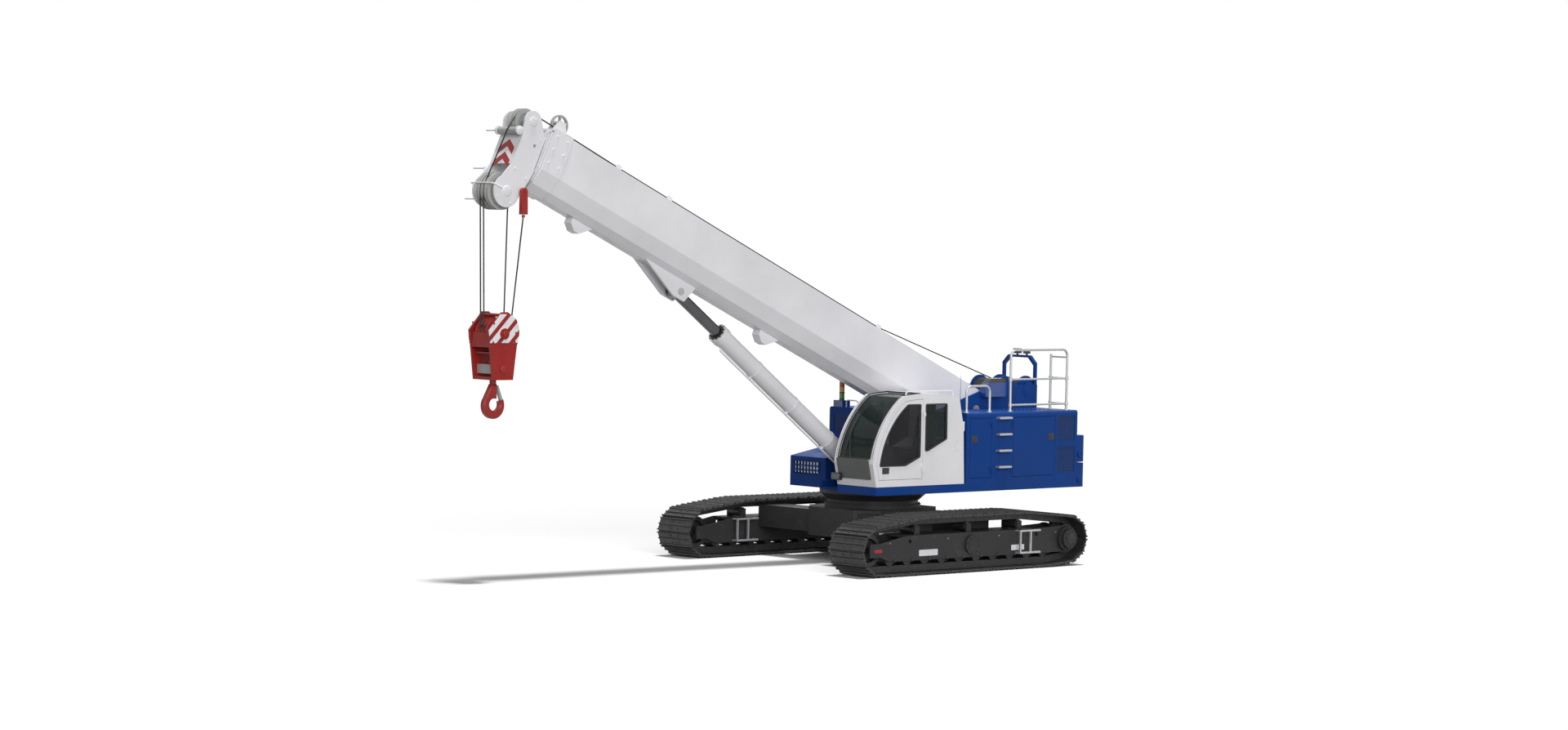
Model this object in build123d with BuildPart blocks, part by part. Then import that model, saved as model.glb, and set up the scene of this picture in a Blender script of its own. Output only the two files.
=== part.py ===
from build123d import *
import os
from math import acos, atan2, cos, degrees, hypot, pi, radians, sin

os.makedirs("parts", exist_ok=True)

# Lengths are in millimetres. x runs forward from the slewing axis, y to the left, z up from the floor.

# Tracks
TRACK_LENGTH = 5190
TRACK_HEIGHT = 957
TRACK_GAUGE = 4200
SHOE_WIDTH = 800
SHOE_COUNT = 46
SHOE_GAP = 12
BAR_HEIGHT = 22
BAR_TOP = 16
BAR_FOOT = 30
SHOE_PLATE = 26
LINK_HEIGHT = 108
CHAIN_WIDTH = 230
IDLER_TURN = 420
SPROCKET_TURN = 405
SPROCKET_LIFT = 45
ROLLER_RADIUS = 98
ROLLER_COUNT = 10
ROLLER_CLEAR = 70
CARRIER_RADIUS = 78
CARRIER_COUNT = 3
SPROCKET_TEETH = 12
TOOTH_DEPTH = 38

# Track frames and car body
FRAME_WIDTH = 520
FRAME_WALL = 36
FRAME_BOTTOM = 235
FRAME_TOP = 640
HUB_RADIUS = 206
HUB_DEPTH = 118
COVER_RADIUS = 165
COVER_DEPTH = 34
LUG_BORE = 60
TIE_X = (-1500, 1400)
TIE_Z = 545
BEAM_WIDTH = 500
BEAM_SPACING = 1300
BEAM_BOTTOM = 480
BEAM_TOP = 850
BODY_LENGTH = 1900
BODY_WIDTH = 1720
BODY_TOP = 905

# Slewing ring and deck
RING_RADIUS = 800
RING_BORE = 560
RING_TOP = 1040
TABLE_RADIUS = 890
DECK_BOTTOM = 1200
DECK_TOP = 1340
DECK_HALF = 1339
DECK_REAR = 3500
DECK_FRONT_RIGHT = 650
DECK_FRONT_MIDDLE = 860
CHANNEL_FLOOR = 1240
TAIL_REACH = 3736
RUNNING_GAP = 0.3

# Boom, measured along it from the foot pin and square to it
BOOM_ANGLE = 24
FOOT_X = -2000
FOOT_Z = 2500
BOOM_WIDTH = 680
BOOM_TOP = 350
BOOM_BEND = 310
BOOM_BELLY = 640
BELLY_WIDTH = 210
KNEE_WIDTH = 470
KNEE_DROP = 540
BOOM_REAR = 250
BASE_END = 10250
BOOM_WALL = 14
SECTION_GAP = 22
SECTION_STEP = 20
SECTION_REAR = 460
SECTION_REAR_STEP = 140
PAD_LENGTH = 260
PAD_WIDTH = 90
COLLAR_LENGTH = 380
COLLAR_RISE = 20
FOOT_PIN_RADIUS = 75
FOOT_BOSS = 210

# Boom head
HEAD_HALF = 270
HEAD_PLATE = 30
HEAD_FACE = 10750
HEAD_SHOULDER = 150
HEAD_HEEL = -470
HEAD_WAIST = -455
HEAD_BROW = 40
LOW_SHEAVE_AT = (10660, -880)
TOP_SHEAVE_AT = (10640, 300)
GUIDE_ROLLER_AT = (10820, 70)
LOW_SHEAVE_RADIUS = 290
TOP_SHEAVE_RADIUS = 205
GUIDE_ROLLER_RADIUS = 55
LOW_LOBE = 250
TOP_LOBE = 165
GUIDE_LOBE = 70
SHEAVE_WIDTH = 62
SHEAVE_PITCH = 80
SHEAVE_PIN = 45
ROPE_RADIUS = 11
GROOVE = 30
JIB_BORE = 56
JIB_BORE_AT = (10460, -30)

# Luffing cylinder
CYLINDER_X = 200
CYLINDER_Z = 1400
EYE_ALONG = 6700
EYE_DROP = 800
TUBE_RADIUS = 150
TUBE_LENGTH = 4120
ROD_RADIUS = 92
EYE_RADIUS = 108
EYE_WIDTH = 190
EAR_GAP = 220
EAR_WALL = 44
EAR_BACK = 260
EAR_TIP = 130
EAR_AHEAD = 900
EAR_BELOW = 10
CYLINDER_PIN_RADIUS = 60
PIN_END = 12

# Boom support and winches
SUPPORT_GAP = 700
SUPPORT_WALL = 40
WINCH_Z = 2820
WINCH_X = (-2780, -3270)
FLANGE_RADIUS = 235
DRUM_RADIUS = 150
WINCH_WIDTH = 640

# Housings and counterweight
HOUSING_TOP = 2510
HOUSING_INNER = 450
HOUSING_WALL = 40
LEFT_FRONT = -840
RIGHT_FRONT = -230
DOOR_GAP = 6
DOOR_WALL = 34
WEIGHT_SPLIT = 1616
WEIGHT_TOP = 2076
WEIGHT_GAP = 20

# Cab
CAB_INNER = 420
CAB_OUTER = 1339
CAB_BOTTOM = 1340
CAB_WALL = 50
CAB_FRONT = 1204
CAB_REAR = -806
GLASS = 8
DOOR_HINGE_X = 165
KNUCKLE_RADIUS = 11

# Hook block
BLOCK_TOP = 4180
BLOCK_BOTTOM = 3140
BLOCK_WIDTH = 500
BLOCK_LENGTH = 590
CHEEK_WALL = 36
BLOCK_SHEAVE_RADIUS = 240
HOOK_BOTTOM = 2535

# Handrails
RAIL_RADIUS = 21

boom_along = Vector(cos(radians(BOOM_ANGLE)), 0, sin(radians(BOOM_ANGLE)))
boom_up = Vector(-sin(radians(BOOM_ANGLE)), 0, cos(radians(BOOM_ANGLE)))
HEAD_REACH = FOOT_X + LOW_SHEAVE_AT[0] * boom_along.X + LOW_SHEAVE_AT[1] * boom_up.X + LOW_SHEAVE_RADIUS
SLEW_X = (TAIL_REACH - HEAD_REACH) / 2
foot = Vector(SLEW_X + FOOT_X, 0, FOOT_Z)


def save(part, label):
    """Name a finished piece and write it to its own file."""
    part.label = label
    export_step(part, f"parts/{label}.step")


def side(y):
    """Upright plane along the crane: x forward from the slewing axis, y up, growing towards -Y."""
    return Plane(origin=(SLEW_X, y, 0), x_dir=(1, 0, 0), z_dir=(0, -1, 0))


def level(z):
    """Flat plane at a height, centred on the slewing axis."""
    return Plane(origin=(SLEW_X, 0, z))


def across(x):
    """Upright plane across the crane: x to the left, y up, growing forward."""
    return Plane(origin=(SLEW_X + x, 0, 0), x_dir=(0, 1, 0), z_dir=(1, 0, 0))


def boom_side(y):
    """Plane along the boom: x along it from the foot pin, y square to it, growing towards -Y."""
    return Plane(origin=foot + Vector(0, y, 0), x_dir=boom_along, z_dir=(0, -1, 0))


def boom_across(along):
    """Plane across the boom: x to the left, y square to the boom, growing towards the head."""
    return Plane(origin=foot + boom_along * along, x_dir=(0, 1, 0), z_dir=boom_along)


def on_boom(along, up, y=0):
    """Point given along the boom and square to it."""
    return foot + boom_along * along + boom_up * up + Vector(0, y, 0)


def block(x, y, z, mode=Mode.ADD):
    """Solid box between two values of each of x, y and z."""
    middle = (SLEW_X + (x[0] + x[1]) / 2, (y[0] + y[1]) / 2, (z[0] + z[1]) / 2)
    with Locations(middle):
        Box(x[1] - x[0], y[1] - y[0], z[1] - z[0], mode=mode)


def bar(start, end, radius, mode=Mode.ADD):
    """Round bar between two points."""
    run = Vector(end) - Vector(start)
    with BuildSketch(Plane(origin=start, z_dir=run)) as section:
        Circle(radius)
    extrude(section.sketch, amount=run.length, mode=mode)


def disc(plane, at, radius, amount, both=False, mode=Mode.ADD):
    """Round piece square to a plane."""
    with BuildSketch(plane) as section:
        with Locations(at):
            Circle(radius)
    extrude(section.sketch, amount=amount, both=both, mode=mode)


def profile(plane, points, amount, both=False, mode=Mode.ADD):
    """Straight-edged outline grown square to its plane."""
    with BuildSketch(plane) as section:
        with BuildLine():
            Polyline(*points, close=True)
        make_face()
    extrude(section.sketch, amount=amount, both=both, mode=mode)


# The loop of a track: the circles it wraps, and the line round them
BAND = BAR_HEIGHT + SHOE_PLATE + LINK_HEIGHT
PLATE_FOOT = BAR_HEIGHT + SHOE_PLATE
IDLER_X = TRACK_LENGTH / 2 - IDLER_TURN
SPROCKET_X = SPROCKET_TURN - TRACK_LENGTH / 2
SPROCKET_Z = SPROCKET_TURN + SPROCKET_LIFT
ROLLER_Z = BAND + ROLLER_RADIUS
CARRIER_Z = TRACK_HEIGHT - BAND - CARRIER_RADIUS
roller_first = SPROCKET_X + SPROCKET_TURN - BAND + ROLLER_CLEAR + ROLLER_RADIUS
roller_last = IDLER_X - IDLER_TURN + BAND - ROLLER_CLEAR - ROLLER_RADIUS
ROLLER_PITCH = (roller_last - roller_first) / (ROLLER_COUNT - 1)
CARRIER_PITCH = (roller_last - roller_first) / CARRIER_COUNT
roller_places = [roller_first + k * ROLLER_PITCH for k in range(ROLLER_COUNT)]
carrier_places = [-CARRIER_PITCH, 0, CARRIER_PITCH]


def belt(inset):
    """Closed line round the wheels of one track, inset from the tips of the shoe bars."""
    wheels = [
        (roller_places[0], ROLLER_Z, ROLLER_Z - inset),
        (IDLER_X, IDLER_TURN, IDLER_TURN - inset),
        (CARRIER_PITCH, CARRIER_Z, CARRIER_RADIUS + BAND - inset),
        (-CARRIER_PITCH, CARRIER_Z, CARRIER_RADIUS + BAND - inset),
        (SPROCKET_X, SPROCKET_Z, SPROCKET_TURN - inset),
    ]
    following = wheels[1:] + wheels[:1]
    normals = []
    for (xa, za, ra), (xb, zb, rb) in zip(wheels, following):
        run = hypot(xb - xa, zb - za)
        normals.append(atan2(zb - za, xb - xa) - acos((ra - rb) / run))
    with BuildLine(mode=Mode.PRIVATE) as line:
        for (xa, za, ra), (xb, zb, rb), before, after in zip(
            wheels, following, normals[-1:] + normals[:-1], normals
        ):
            turn = (after - before) % (2 * pi)
            CenterArc((xa, za), ra, degrees(before), degrees(turn))
            leaves = (xa + ra * cos(after), za + ra * sin(after))
            arrives = (xb + rb * cos(after), zb + rb * sin(after))
            Line(leaves, arrives)
    return Wire(line.edges())


def shoe_outline(start, end):
    """Outline of one shoe on the chord of the chain that carries it: a plate with three bars."""
    run = end - start
    tangent = run.normalized()
    outward = Vector(tangent.Y, -tangent.X)
    half = run.length / 2 - SHOE_GAP / 2
    tall = PLATE_FOOT
    steps = [
        (-half, 0),
        (-half, tall),
        (BAR_TOP - half, tall),
        (BAR_FOOT - half, SHOE_PLATE),
        (-BAR_FOOT / 2, SHOE_PLATE),
        (-BAR_TOP / 2, tall),
        (BAR_TOP / 2, tall),
        (BAR_FOOT / 2, SHOE_PLATE),
        (half - BAR_FOOT, SHOE_PLATE),
        (half - BAR_TOP, tall),
        (half, tall),
        (half, 0),
    ]
    middle = start + run * 0.5
    return [tuple(middle + tangent * u + outward * h)[:2] for u, h in steps]


chain_line = belt(PLATE_FOOT)
chain_inside = belt(BAND)
knuckles = [chain_line @ (k / SHOE_COUNT) for k in range(SHOE_COUNT)]

for hand, y in (("left", TRACK_GAUGE / 2), ("right", -TRACK_GAUGE / 2)):
    with BuildPart() as track:
        with BuildSketch(side(y)):
            with BuildLine():
                Polyline(*[(p.X, p.Y) for p in knuckles], close=True)
            make_face()
            make_face(chain_inside.edges(), mode=Mode.SUBTRACT)
        extrude(amount=CHAIN_WIDTH / 2, both=True)
        with BuildSketch(side(y)):
            for start, end in zip(knuckles, knuckles[1:] + knuckles[:1]):
                with BuildLine():
                    Polyline(*shoe_outline(start, end), close=True)
                make_face()
        extrude(amount=SHOE_WIDTH / 2, both=True)
    save(track.part, f"{hand}_track")

# Track frames: a channel open below, forked round the idler, with ears for the carrier rollers
FRAME_NOSE = 110
FRAME_REAR_ROUND = 235
FRAME_RAMP = 300
EAR_HALF = 55
CARRIER_WIDTH = 300
CARRIER_EAR = 30
frame_inner = FRAME_WIDTH / 2 - FRAME_WALL
frame_outline = [
    (SPROCKET_X, FRAME_BOTTOM),
    (roller_places[-1] + ROLLER_RADIUS, FRAME_BOTTOM),
    (IDLER_X - FRAME_NOSE, IDLER_TURN - FRAME_NOSE),
    (IDLER_X + FRAME_NOSE, IDLER_TURN - FRAME_NOSE),
    (IDLER_X + FRAME_NOSE, IDLER_TURN + FRAME_NOSE),
    (IDLER_X - FRAME_NOSE, IDLER_TURN + FRAME_NOSE),
    (CARRIER_PITCH + FRAME_RAMP, FRAME_TOP),
    (-CARRIER_PITCH - FRAME_RAMP, FRAME_TOP),
    (SPROCKET_X, SPROCKET_Z + FRAME_REAR_ROUND * cos(radians(20))),
]
for hand, way in (("left", 1), ("right", -1)):
    middle = way * TRACK_GAUGE / 2
    outside = middle + way * FRAME_WIDTH / 2
    with BuildPart() as track_frame:
        profile(side(middle), frame_outline, FRAME_WIDTH / 2, both=True)
        with BuildSketch(side(middle)):
            with Locations((SPROCKET_X, SPROCKET_Z)):
                Circle(FRAME_REAR_ROUND)
        extrude(amount=FRAME_WIDTH / 2, both=True)
        with Locations((SLEW_X, middle, (FRAME_BOTTOM + FRAME_TOP - FRAME_WALL) / 2)):
            Box(2 * TRACK_LENGTH, 2 * frame_inner, FRAME_TOP - FRAME_WALL - FRAME_BOTTOM, mode=Mode.SUBTRACT)
        with Locations((SLEW_X + CARRIER_PITCH + FRAME_RAMP + TRACK_LENGTH / 2, middle, TRACK_HEIGHT / 2)):
            Box(TRACK_LENGTH, 2 * frame_inner, TRACK_HEIGHT, mode=Mode.SUBTRACT)
        with Locations((SLEW_X - CARRIER_PITCH - FRAME_RAMP - TRACK_LENGTH / 2, middle, TRACK_HEIGHT / 2)):
            Box(TRACK_LENGTH, 2 * frame_inner, TRACK_HEIGHT, mode=Mode.SUBTRACT)
        for x in carrier_places:
            for ear in (-1, 1):
                y = middle + ear * (CARRIER_WIDTH + CARRIER_EAR) / 2
                block((x - EAR_HALF, x + EAR_HALF), (y - CARRIER_EAR / 2, y + CARRIER_EAR / 2),
                      (FRAME_TOP, CARRIER_Z + EAR_HALF))
        with BuildSketch(side(outside)):
            with Locations((0, (FRAME_BOTTOM + FRAME_TOP) / 2)):
                Circle(COVER_RADIUS)
        extrude(amount=-way * COVER_DEPTH)
        for x in TIE_X:
            disc(side(outside), (x, TIE_Z), LUG_BORE / 2, way * FRAME_WALL, mode=Mode.SUBTRACT)
    save(track_frame.part, f"{hand}_track_frame")

# Front idlers: spoked rims between the fork's cheeks, on a through shaft
WHEEL_GAP = 0.5
WHEEL_WIDTH = 210
WHEEL_RIM = 70
SHAFT_RADIUS = 48
idler_radius = IDLER_TURN - BAND - WHEEL_GAP
with BuildPart() as front_idlers:
    for way in (1, -1):
        middle = way * TRACK_GAUGE / 2
        with BuildSketch(side(middle)):
            with Locations((IDLER_X, IDLER_TURN)):
                Circle(idler_radius)
        extrude(amount=WHEEL_WIDTH / 2, both=True)
        with BuildSketch(side(middle)):
            with Locations((IDLER_X, IDLER_TURN)):
                Circle(idler_radius - WHEEL_RIM)
                Circle(SHAFT_RADIUS * 2, mode=Mode.SUBTRACT)
        extrude(amount=WHEEL_WIDTH / 2, both=True, mode=Mode.SUBTRACT)
        with BuildSketch(side(middle)):
            with Locations((IDLER_X, IDLER_TURN)):
                Circle(idler_radius - WHEEL_RIM)
        extrude(amount=WHEEL_RIM / 2, both=True)
        disc(side(middle), (IDLER_X, IDLER_TURN), SHAFT_RADIUS, frame_inner, both=True)
save(front_idlers.part, "front_idlers")

# Drive sprockets: a toothed disc between the frame's cheeks and the final drive's hub outside
SPROCKET_WIDTH = 90
HUB_STEP = 46
sprocket_tip = SPROCKET_TURN - BAND - WHEEL_GAP
with BuildPart() as drive_sprockets:
    for way in (1, -1):
        middle = way * TRACK_GAUGE / 2
        outside = middle + way * FRAME_WIDTH / 2
        with BuildSketch(side(middle)):
            with Locations((SPROCKET_X, SPROCKET_Z)):
                Circle(sprocket_tip)
                with PolarLocations(sprocket_tip, SPROCKET_TEETH):
                    Circle(TOOTH_DEPTH, mode=Mode.SUBTRACT)
        extrude(amount=SPROCKET_WIDTH / 2, both=True)
        disc(side(middle), (SPROCKET_X, SPROCKET_Z), HUB_RADIUS - HUB_STEP, frame_inner, both=True)
        with BuildSketch(side(outside)):
            with Locations((SPROCKET_X, SPROCKET_Z)):
                Circle(HUB_RADIUS)
        extrude(amount=-way * HUB_DEPTH / 2)
        with BuildSketch(side(outside)):
            with Locations((SPROCKET_X, SPROCKET_Z)):
                Circle(HUB_RADIUS - HUB_STEP)
        extrude(amount=-way * HUB_DEPTH)
save(drive_sprockets.part, "drive_sprockets")

# Track rollers: flanged rollers below the frame and plain carriers above it
FLANGE_THICK = 28
ROLLER_SHAFT = 34
roller_half = CHAIN_WIDTH / 2 + FLANGE_THICK
with BuildPart() as track_rollers:
    for way in (1, -1):
        middle = way * TRACK_GAUGE / 2
        for x in roller_places:
            disc(side(middle), (x, ROLLER_Z + WHEEL_GAP), ROLLER_RADIUS, roller_half, both=True)
            disc(side(middle), (x, ROLLER_Z + WHEEL_GAP), ROLLER_SHAFT, frame_inner, both=True)
        for x in carrier_places:
            disc(side(middle), (x, CARRIER_Z - WHEEL_GAP), CARRIER_RADIUS, CARRIER_WIDTH / 2, both=True)
save(track_rollers.part, "track_rollers")

# Steps on the track frames: two flat loops tied by posts, outside at the rear and inside at the front
STEP_BAR = 30
STEP_REACH = 120
STEP_LENGTH = 480
STEP_Z = (250, 610)
STEP_X = 1240
STEP_POSTS = (0, 240)
with BuildPart() as track_steps:
    for way in (1, -1):
        for face in (1, -1):
            x = -face * STEP_X
            wall = way * (TRACK_GAUGE + face * FRAME_WIDTH) / 2
            out = way * face
            for z in STEP_Z:
                with BuildSketch(level(z)):
                    with Locations((x, wall + out * STEP_REACH / 2)):
                        Rectangle(STEP_LENGTH, STEP_REACH)
                    with Locations((x, wall + out * (STEP_REACH - STEP_BAR) / 2)):
                        Rectangle(STEP_LENGTH - 2 * STEP_BAR, STEP_REACH - STEP_BAR, mode=Mode.SUBTRACT)
                extrude(amount=STEP_BAR)
            for post in STEP_POSTS:
                front = x + STEP_LENGTH / 2 - post
                outer = sorted((wall + out * STEP_REACH, wall + out * (STEP_REACH - STEP_BAR)))
                block((front - STEP_BAR, front), outer, (STEP_Z[0], STEP_Z[1] + STEP_BAR))
save(track_steps.part, "track_steps")

# Car body: a chamfered box on two cross beams that seat against the track frames
BODY_CORNER = 320
BODY_BOTTOM = 430
with BuildPart() as car_body:
    with BuildSketch(level(BODY_BOTTOM)):
        Rectangle(BODY_LENGTH, BODY_WIDTH)
        chamfer(vertices(), BODY_CORNER)
    extrude(amount=BODY_TOP - BODY_BOTTOM)
    for x in (-BEAM_SPACING / 2, BEAM_SPACING / 2):
        with BuildSketch(across(x - BEAM_WIDTH / 2)):
            with Locations((0, (BEAM_BOTTOM + BEAM_TOP) / 2)):
                Rectangle(TRACK_GAUGE - FRAME_WIDTH, BEAM_TOP - BEAM_BOTTOM)
        extrude(amount=BEAM_WIDTH)
save(car_body.part, "car_body")

# Slewing ring: a stepped ring bolted to the car body
RING_STEP = 40
with BuildPart() as slew_ring:
    with BuildSketch(level(BODY_TOP)):
        Circle(RING_RADIUS)
        Circle(RING_BORE, mode=Mode.SUBTRACT)
    extrude(amount=(RING_TOP - BODY_TOP) / 2)
    with BuildSketch(level(BODY_TOP)):
        Circle(RING_RADIUS - RING_STEP)
        Circle(RING_BORE, mode=Mode.SUBTRACT)
    extrude(amount=RING_TOP - BODY_TOP - RUNNING_GAP)
save(slew_ring.part, "slew_ring")

# Turntable: the flared drum between the ring and the deck
TABLE_NECK = 780
TABLE_LIP = 60
with BuildPart() as turntable:
    with BuildSketch(Plane(origin=(SLEW_X, 0, 0), x_dir=(1, 0, 0), z_dir=(0, -1, 0))):
        with BuildLine():
            Polyline((RING_BORE, RING_TOP), (TABLE_NECK, RING_TOP), (TABLE_RADIUS, DECK_BOTTOM - TABLE_LIP),
                     (TABLE_RADIUS, DECK_BOTTOM), (RING_BORE, DECK_BOTTOM), close=True)
        make_face()
    revolve(axis=Axis((SLEW_X, 0, 0), (0, 0, 1)))
save(turntable.part, "turntable")

# Deck: one plan outline, cut down to a channel under the boom and its cylinder
CHANNEL_REAR = -460
CHANNEL_HALF = 330
PLATFORM_INNER = -470
with BuildPart() as deck:
    profile(level(DECK_BOTTOM), [
        (-DECK_REAR, -DECK_HALF), (DECK_FRONT_RIGHT, -DECK_HALF), (DECK_FRONT_RIGHT, PLATFORM_INNER),
        (DECK_FRONT_MIDDLE, -CHANNEL_HALF), (DECK_FRONT_MIDDLE, CHANNEL_HALF), (CAB_FRONT, CAB_INNER),
        (CAB_FRONT, DECK_HALF), (-DECK_REAR, DECK_HALF)], DECK_TOP - DECK_BOTTOM)
    with Locations((SLEW_X + CHANNEL_REAR + TRACK_LENGTH / 2, 0, CHANNEL_FLOOR + DECK_TOP / 2)):
        Box(TRACK_LENGTH, 2 * CHANNEL_HALF, DECK_TOP, mode=Mode.SUBTRACT)
save(deck.part, "deck")

# Boom support: two upright plates that carry the foot pin and the winches, with the cylinder's ears
support_face = SUPPORT_GAP / 2
PLATE_FRONT = -620
PLATE_KNEE = (-1050, 2490)
PLATE_SHOULDER = (-2140, 2820)
PLATE_CREST = -2400
PLATE_TOP = 2900
PLATE_REAR = -3480
EAR_FOOT = (-300, 260)
EAR_HEAD = 110
support_outline = [
    (PLATE_FRONT, DECK_TOP), PLATE_KNEE, PLATE_SHOULDER, (PLATE_CREST, PLATE_TOP), (PLATE_REAR, PLATE_TOP),
    (PLATE_REAR, DECK_TOP)]
with BuildPart() as boom_support:
    for way in (1, -1):
        profile(side(way * (support_face + SUPPORT_WALL / 2)), support_outline, SUPPORT_WALL / 2, both=True)
        ear = way * (EAR_GAP + EAR_WALL) / 2
        profile(side(ear), [
            (CYLINDER_X + EAR_FOOT[0], CHANNEL_FLOOR), (CYLINDER_X + EAR_FOOT[1], CHANNEL_FLOOR),
            (CYLINDER_X + EAR_HEAD, CYLINDER_Z + EAR_HEAD), (CYLINDER_X - EAR_HEAD, CYLINDER_Z + EAR_HEAD)],
            EAR_WALL / 2, both=True)
    disc(side(0), (FOOT_X, FOOT_Z), FOOT_PIN_RADIUS + RUNNING_GAP, DECK_HALF, both=True, mode=Mode.SUBTRACT)
    disc(side(0), (CYLINDER_X, CYLINDER_Z), CYLINDER_PIN_RADIUS + RUNNING_GAP, DECK_HALF, both=True,
         mode=Mode.SUBTRACT)
save(boom_support.part, "boom_support")

# Winches: a drum between two flanges, on a shaft held by the support plates
FLANGE_WALL = 26
for name, x in zip(("main_winch", "auxiliary_winch"), WINCH_X):
    with BuildPart() as winch:
        disc(side(0), (x, WINCH_Z), DRUM_RADIUS, support_face, both=True)
        for way in (1, -1):
            edge = way * (WINCH_WIDTH - FLANGE_WALL) / 2
            disc(side(edge), (x, WINCH_Z), FLANGE_RADIUS, FLANGE_WALL / 2, both=True)
    save(winch.part, name)

# Hose cover: a dark hood on the outside of the left support plate
COVER_X = (-2570, -2080)
COVER_TOP = 3030
COVER_FOOT = 2720
COVER_NOSE = 170
COVER_SLOPE = 140
COVER_WIDTH = 150
with BuildPart() as hose_cover:
    plate = support_face + SUPPORT_WALL
    profile(side(plate + COVER_WIDTH), [
        (COVER_X[0], COVER_FOOT), (COVER_X[1], COVER_FOOT), (COVER_X[1], COVER_FOOT + COVER_NOSE),
        (COVER_X[1] - COVER_SLOPE, COVER_TOP), (COVER_X[0], COVER_TOP)], COVER_WIDTH)
save(hose_cover.part, "hose_cover")


# Hinges of the doors: a leaf on the face and a knuckle on the pin line
LEAF_WALL = 8
LEAF_REACH = 55
KNUCKLE_LENGTH = 60
knuckle_out = KNUCKLE_RADIUS


def hinge_leaf(x, face, way, z, reach):
    """Knuckle at a height on the line x, outside a wall that faces along way, with its leaf."""
    line = face + way * knuckle_out
    with BuildSketch(level(z)) as section:
        with Locations((x, line)):
            Circle(KNUCKLE_RADIUS)
        with Locations((x + reach / 2, face + way * LEAF_WALL / 2)):
            Rectangle(abs(reach), LEAF_WALL)
    extrude(section.sketch, amount=KNUCKLE_LENGTH)


# Housings: hollow boxes beside the boom, each with two service doors
DOOR_LOW = 1420
DOOR_HIGH = 2420
HINGE_Z = (1500, 2250)
LADDER_X = (-1880, -1500)
HOUSING_EDGE = 45
GRILLE_DEPTH = 14
GRILLE_X = (-3440, -3020)
GRILLE_Z = ((1465, 1900), (2000, 2420))
FRONT_GRILLE_Y = (-1230, -900)
FRONT_GRILLE_Z = (2100, 2380)
doors = {"front": (-1440, -930, -1440), "rear": (-2960, -1940, -1940)}
for hand, way, front in (("left", 1, LEFT_FRONT), ("right", -1, RIGHT_FRONT)):
    faces = sorted((way * HOUSING_INNER, way * DECK_HALF))
    with BuildPart() as housing:
        block((-DECK_REAR, front), faces, (DECK_TOP, HOUSING_TOP))
        top_edge = housing.edges().group_by(Axis.Z)[-1].sort_by(Axis.Y)[-1 if way > 0 else 0]
        fillet(top_edge, HOUSING_EDGE)
        block((-DECK_REAR + HOUSING_WALL, front - HOUSING_WALL),
              (faces[0] + HOUSING_WALL, faces[1] - HOUSING_WALL),
              (DECK_TOP, HOUSING_TOP - HOUSING_WALL), mode=Mode.SUBTRACT)
        wall = sorted((way * (DECK_HALF + HOUSING_WALL), way * (DECK_HALF - 2 * HOUSING_WALL)))
        for x0, x1, line in doors.values():
            block((x0, x1), wall, (DOOR_LOW, DOOR_HIGH), mode=Mode.SUBTRACT)
        recess = sorted((way * DECK_HALF, way * (DECK_HALF - GRILLE_DEPTH)))
        for z in GRILLE_Z:
            block(GRILLE_X, recess, z, mode=Mode.SUBTRACT)
        if way < 0:
            block((front - GRILLE_DEPTH, front), FRONT_GRILLE_Y, FRONT_GRILLE_Z, mode=Mode.SUBTRACT)
        for x0, x1, line in doors.values():
            frame_side = -1 if line == x0 else 1
            for z in HINGE_Z:
                hinge_leaf(line, way * DECK_HALF, way, z, frame_side * LEAF_REACH)
    save(housing.part, f"{hand}_housing")
    for name, (x0, x1, line) in doors.items():
        door_side = 1 if line == x0 else -1
        wall = sorted((way * DECK_HALF, way * (DECK_HALF - DOOR_WALL)))
        with BuildPart() as service_door:
            block((x0 + DOOR_GAP, x1 - DOOR_GAP), wall, (DOOR_LOW + DOOR_GAP, DOOR_HIGH - DOOR_GAP))
            for z in HINGE_Z:
                leaf_z = z + KNUCKLE_LENGTH + RUNNING_GAP
                hinge_leaf(line, way * DECK_HALF, way, leaf_z, door_side * LEAF_REACH)
        save(service_door.part, f"{hand}_{name}_door")

# Engine: one plain block inside the right housing
ENGINE_X = (-2900, -1500)
ENGINE_Y = (-1150, -620)
ENGINE_TOP = 2250
with BuildPart() as engine:
    block(ENGINE_X, ENGINE_Y, (DECK_TOP, ENGINE_TOP))
save(engine.part, "engine")

# Front platform on the right, with its sloping lid and grille face
PLATFORM_TOP = 1700
PLATFORM_REAR_TOP = 1860
SLOT_COUNT = 9
SLOT_PITCH = 75
SLOT_WIDTH = 40
SLOT_DEPTH = 12
SLOT_MARGIN = 120
SLOT_Z = (DECK_TOP + 90, PLATFORM_TOP - 60)
with BuildPart() as front_platform:
    profile(side(PLATFORM_INNER), [
        (RIGHT_FRONT, DECK_TOP), (DECK_FRONT_RIGHT, DECK_TOP), (DECK_FRONT_RIGHT, PLATFORM_TOP),
        (RIGHT_FRONT, PLATFORM_REAR_TOP)], DECK_HALF + PLATFORM_INNER)
    for k in range(SLOT_COUNT):
        y = -DECK_HALF + SLOT_MARGIN + k * SLOT_PITCH
        slot_x = (DECK_FRONT_RIGHT - SLOT_DEPTH, DECK_FRONT_RIGHT)
        block(slot_x, (y, y + SLOT_WIDTH), SLOT_Z, mode=Mode.SUBTRACT)
save(front_platform.part, "front_platform")

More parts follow.
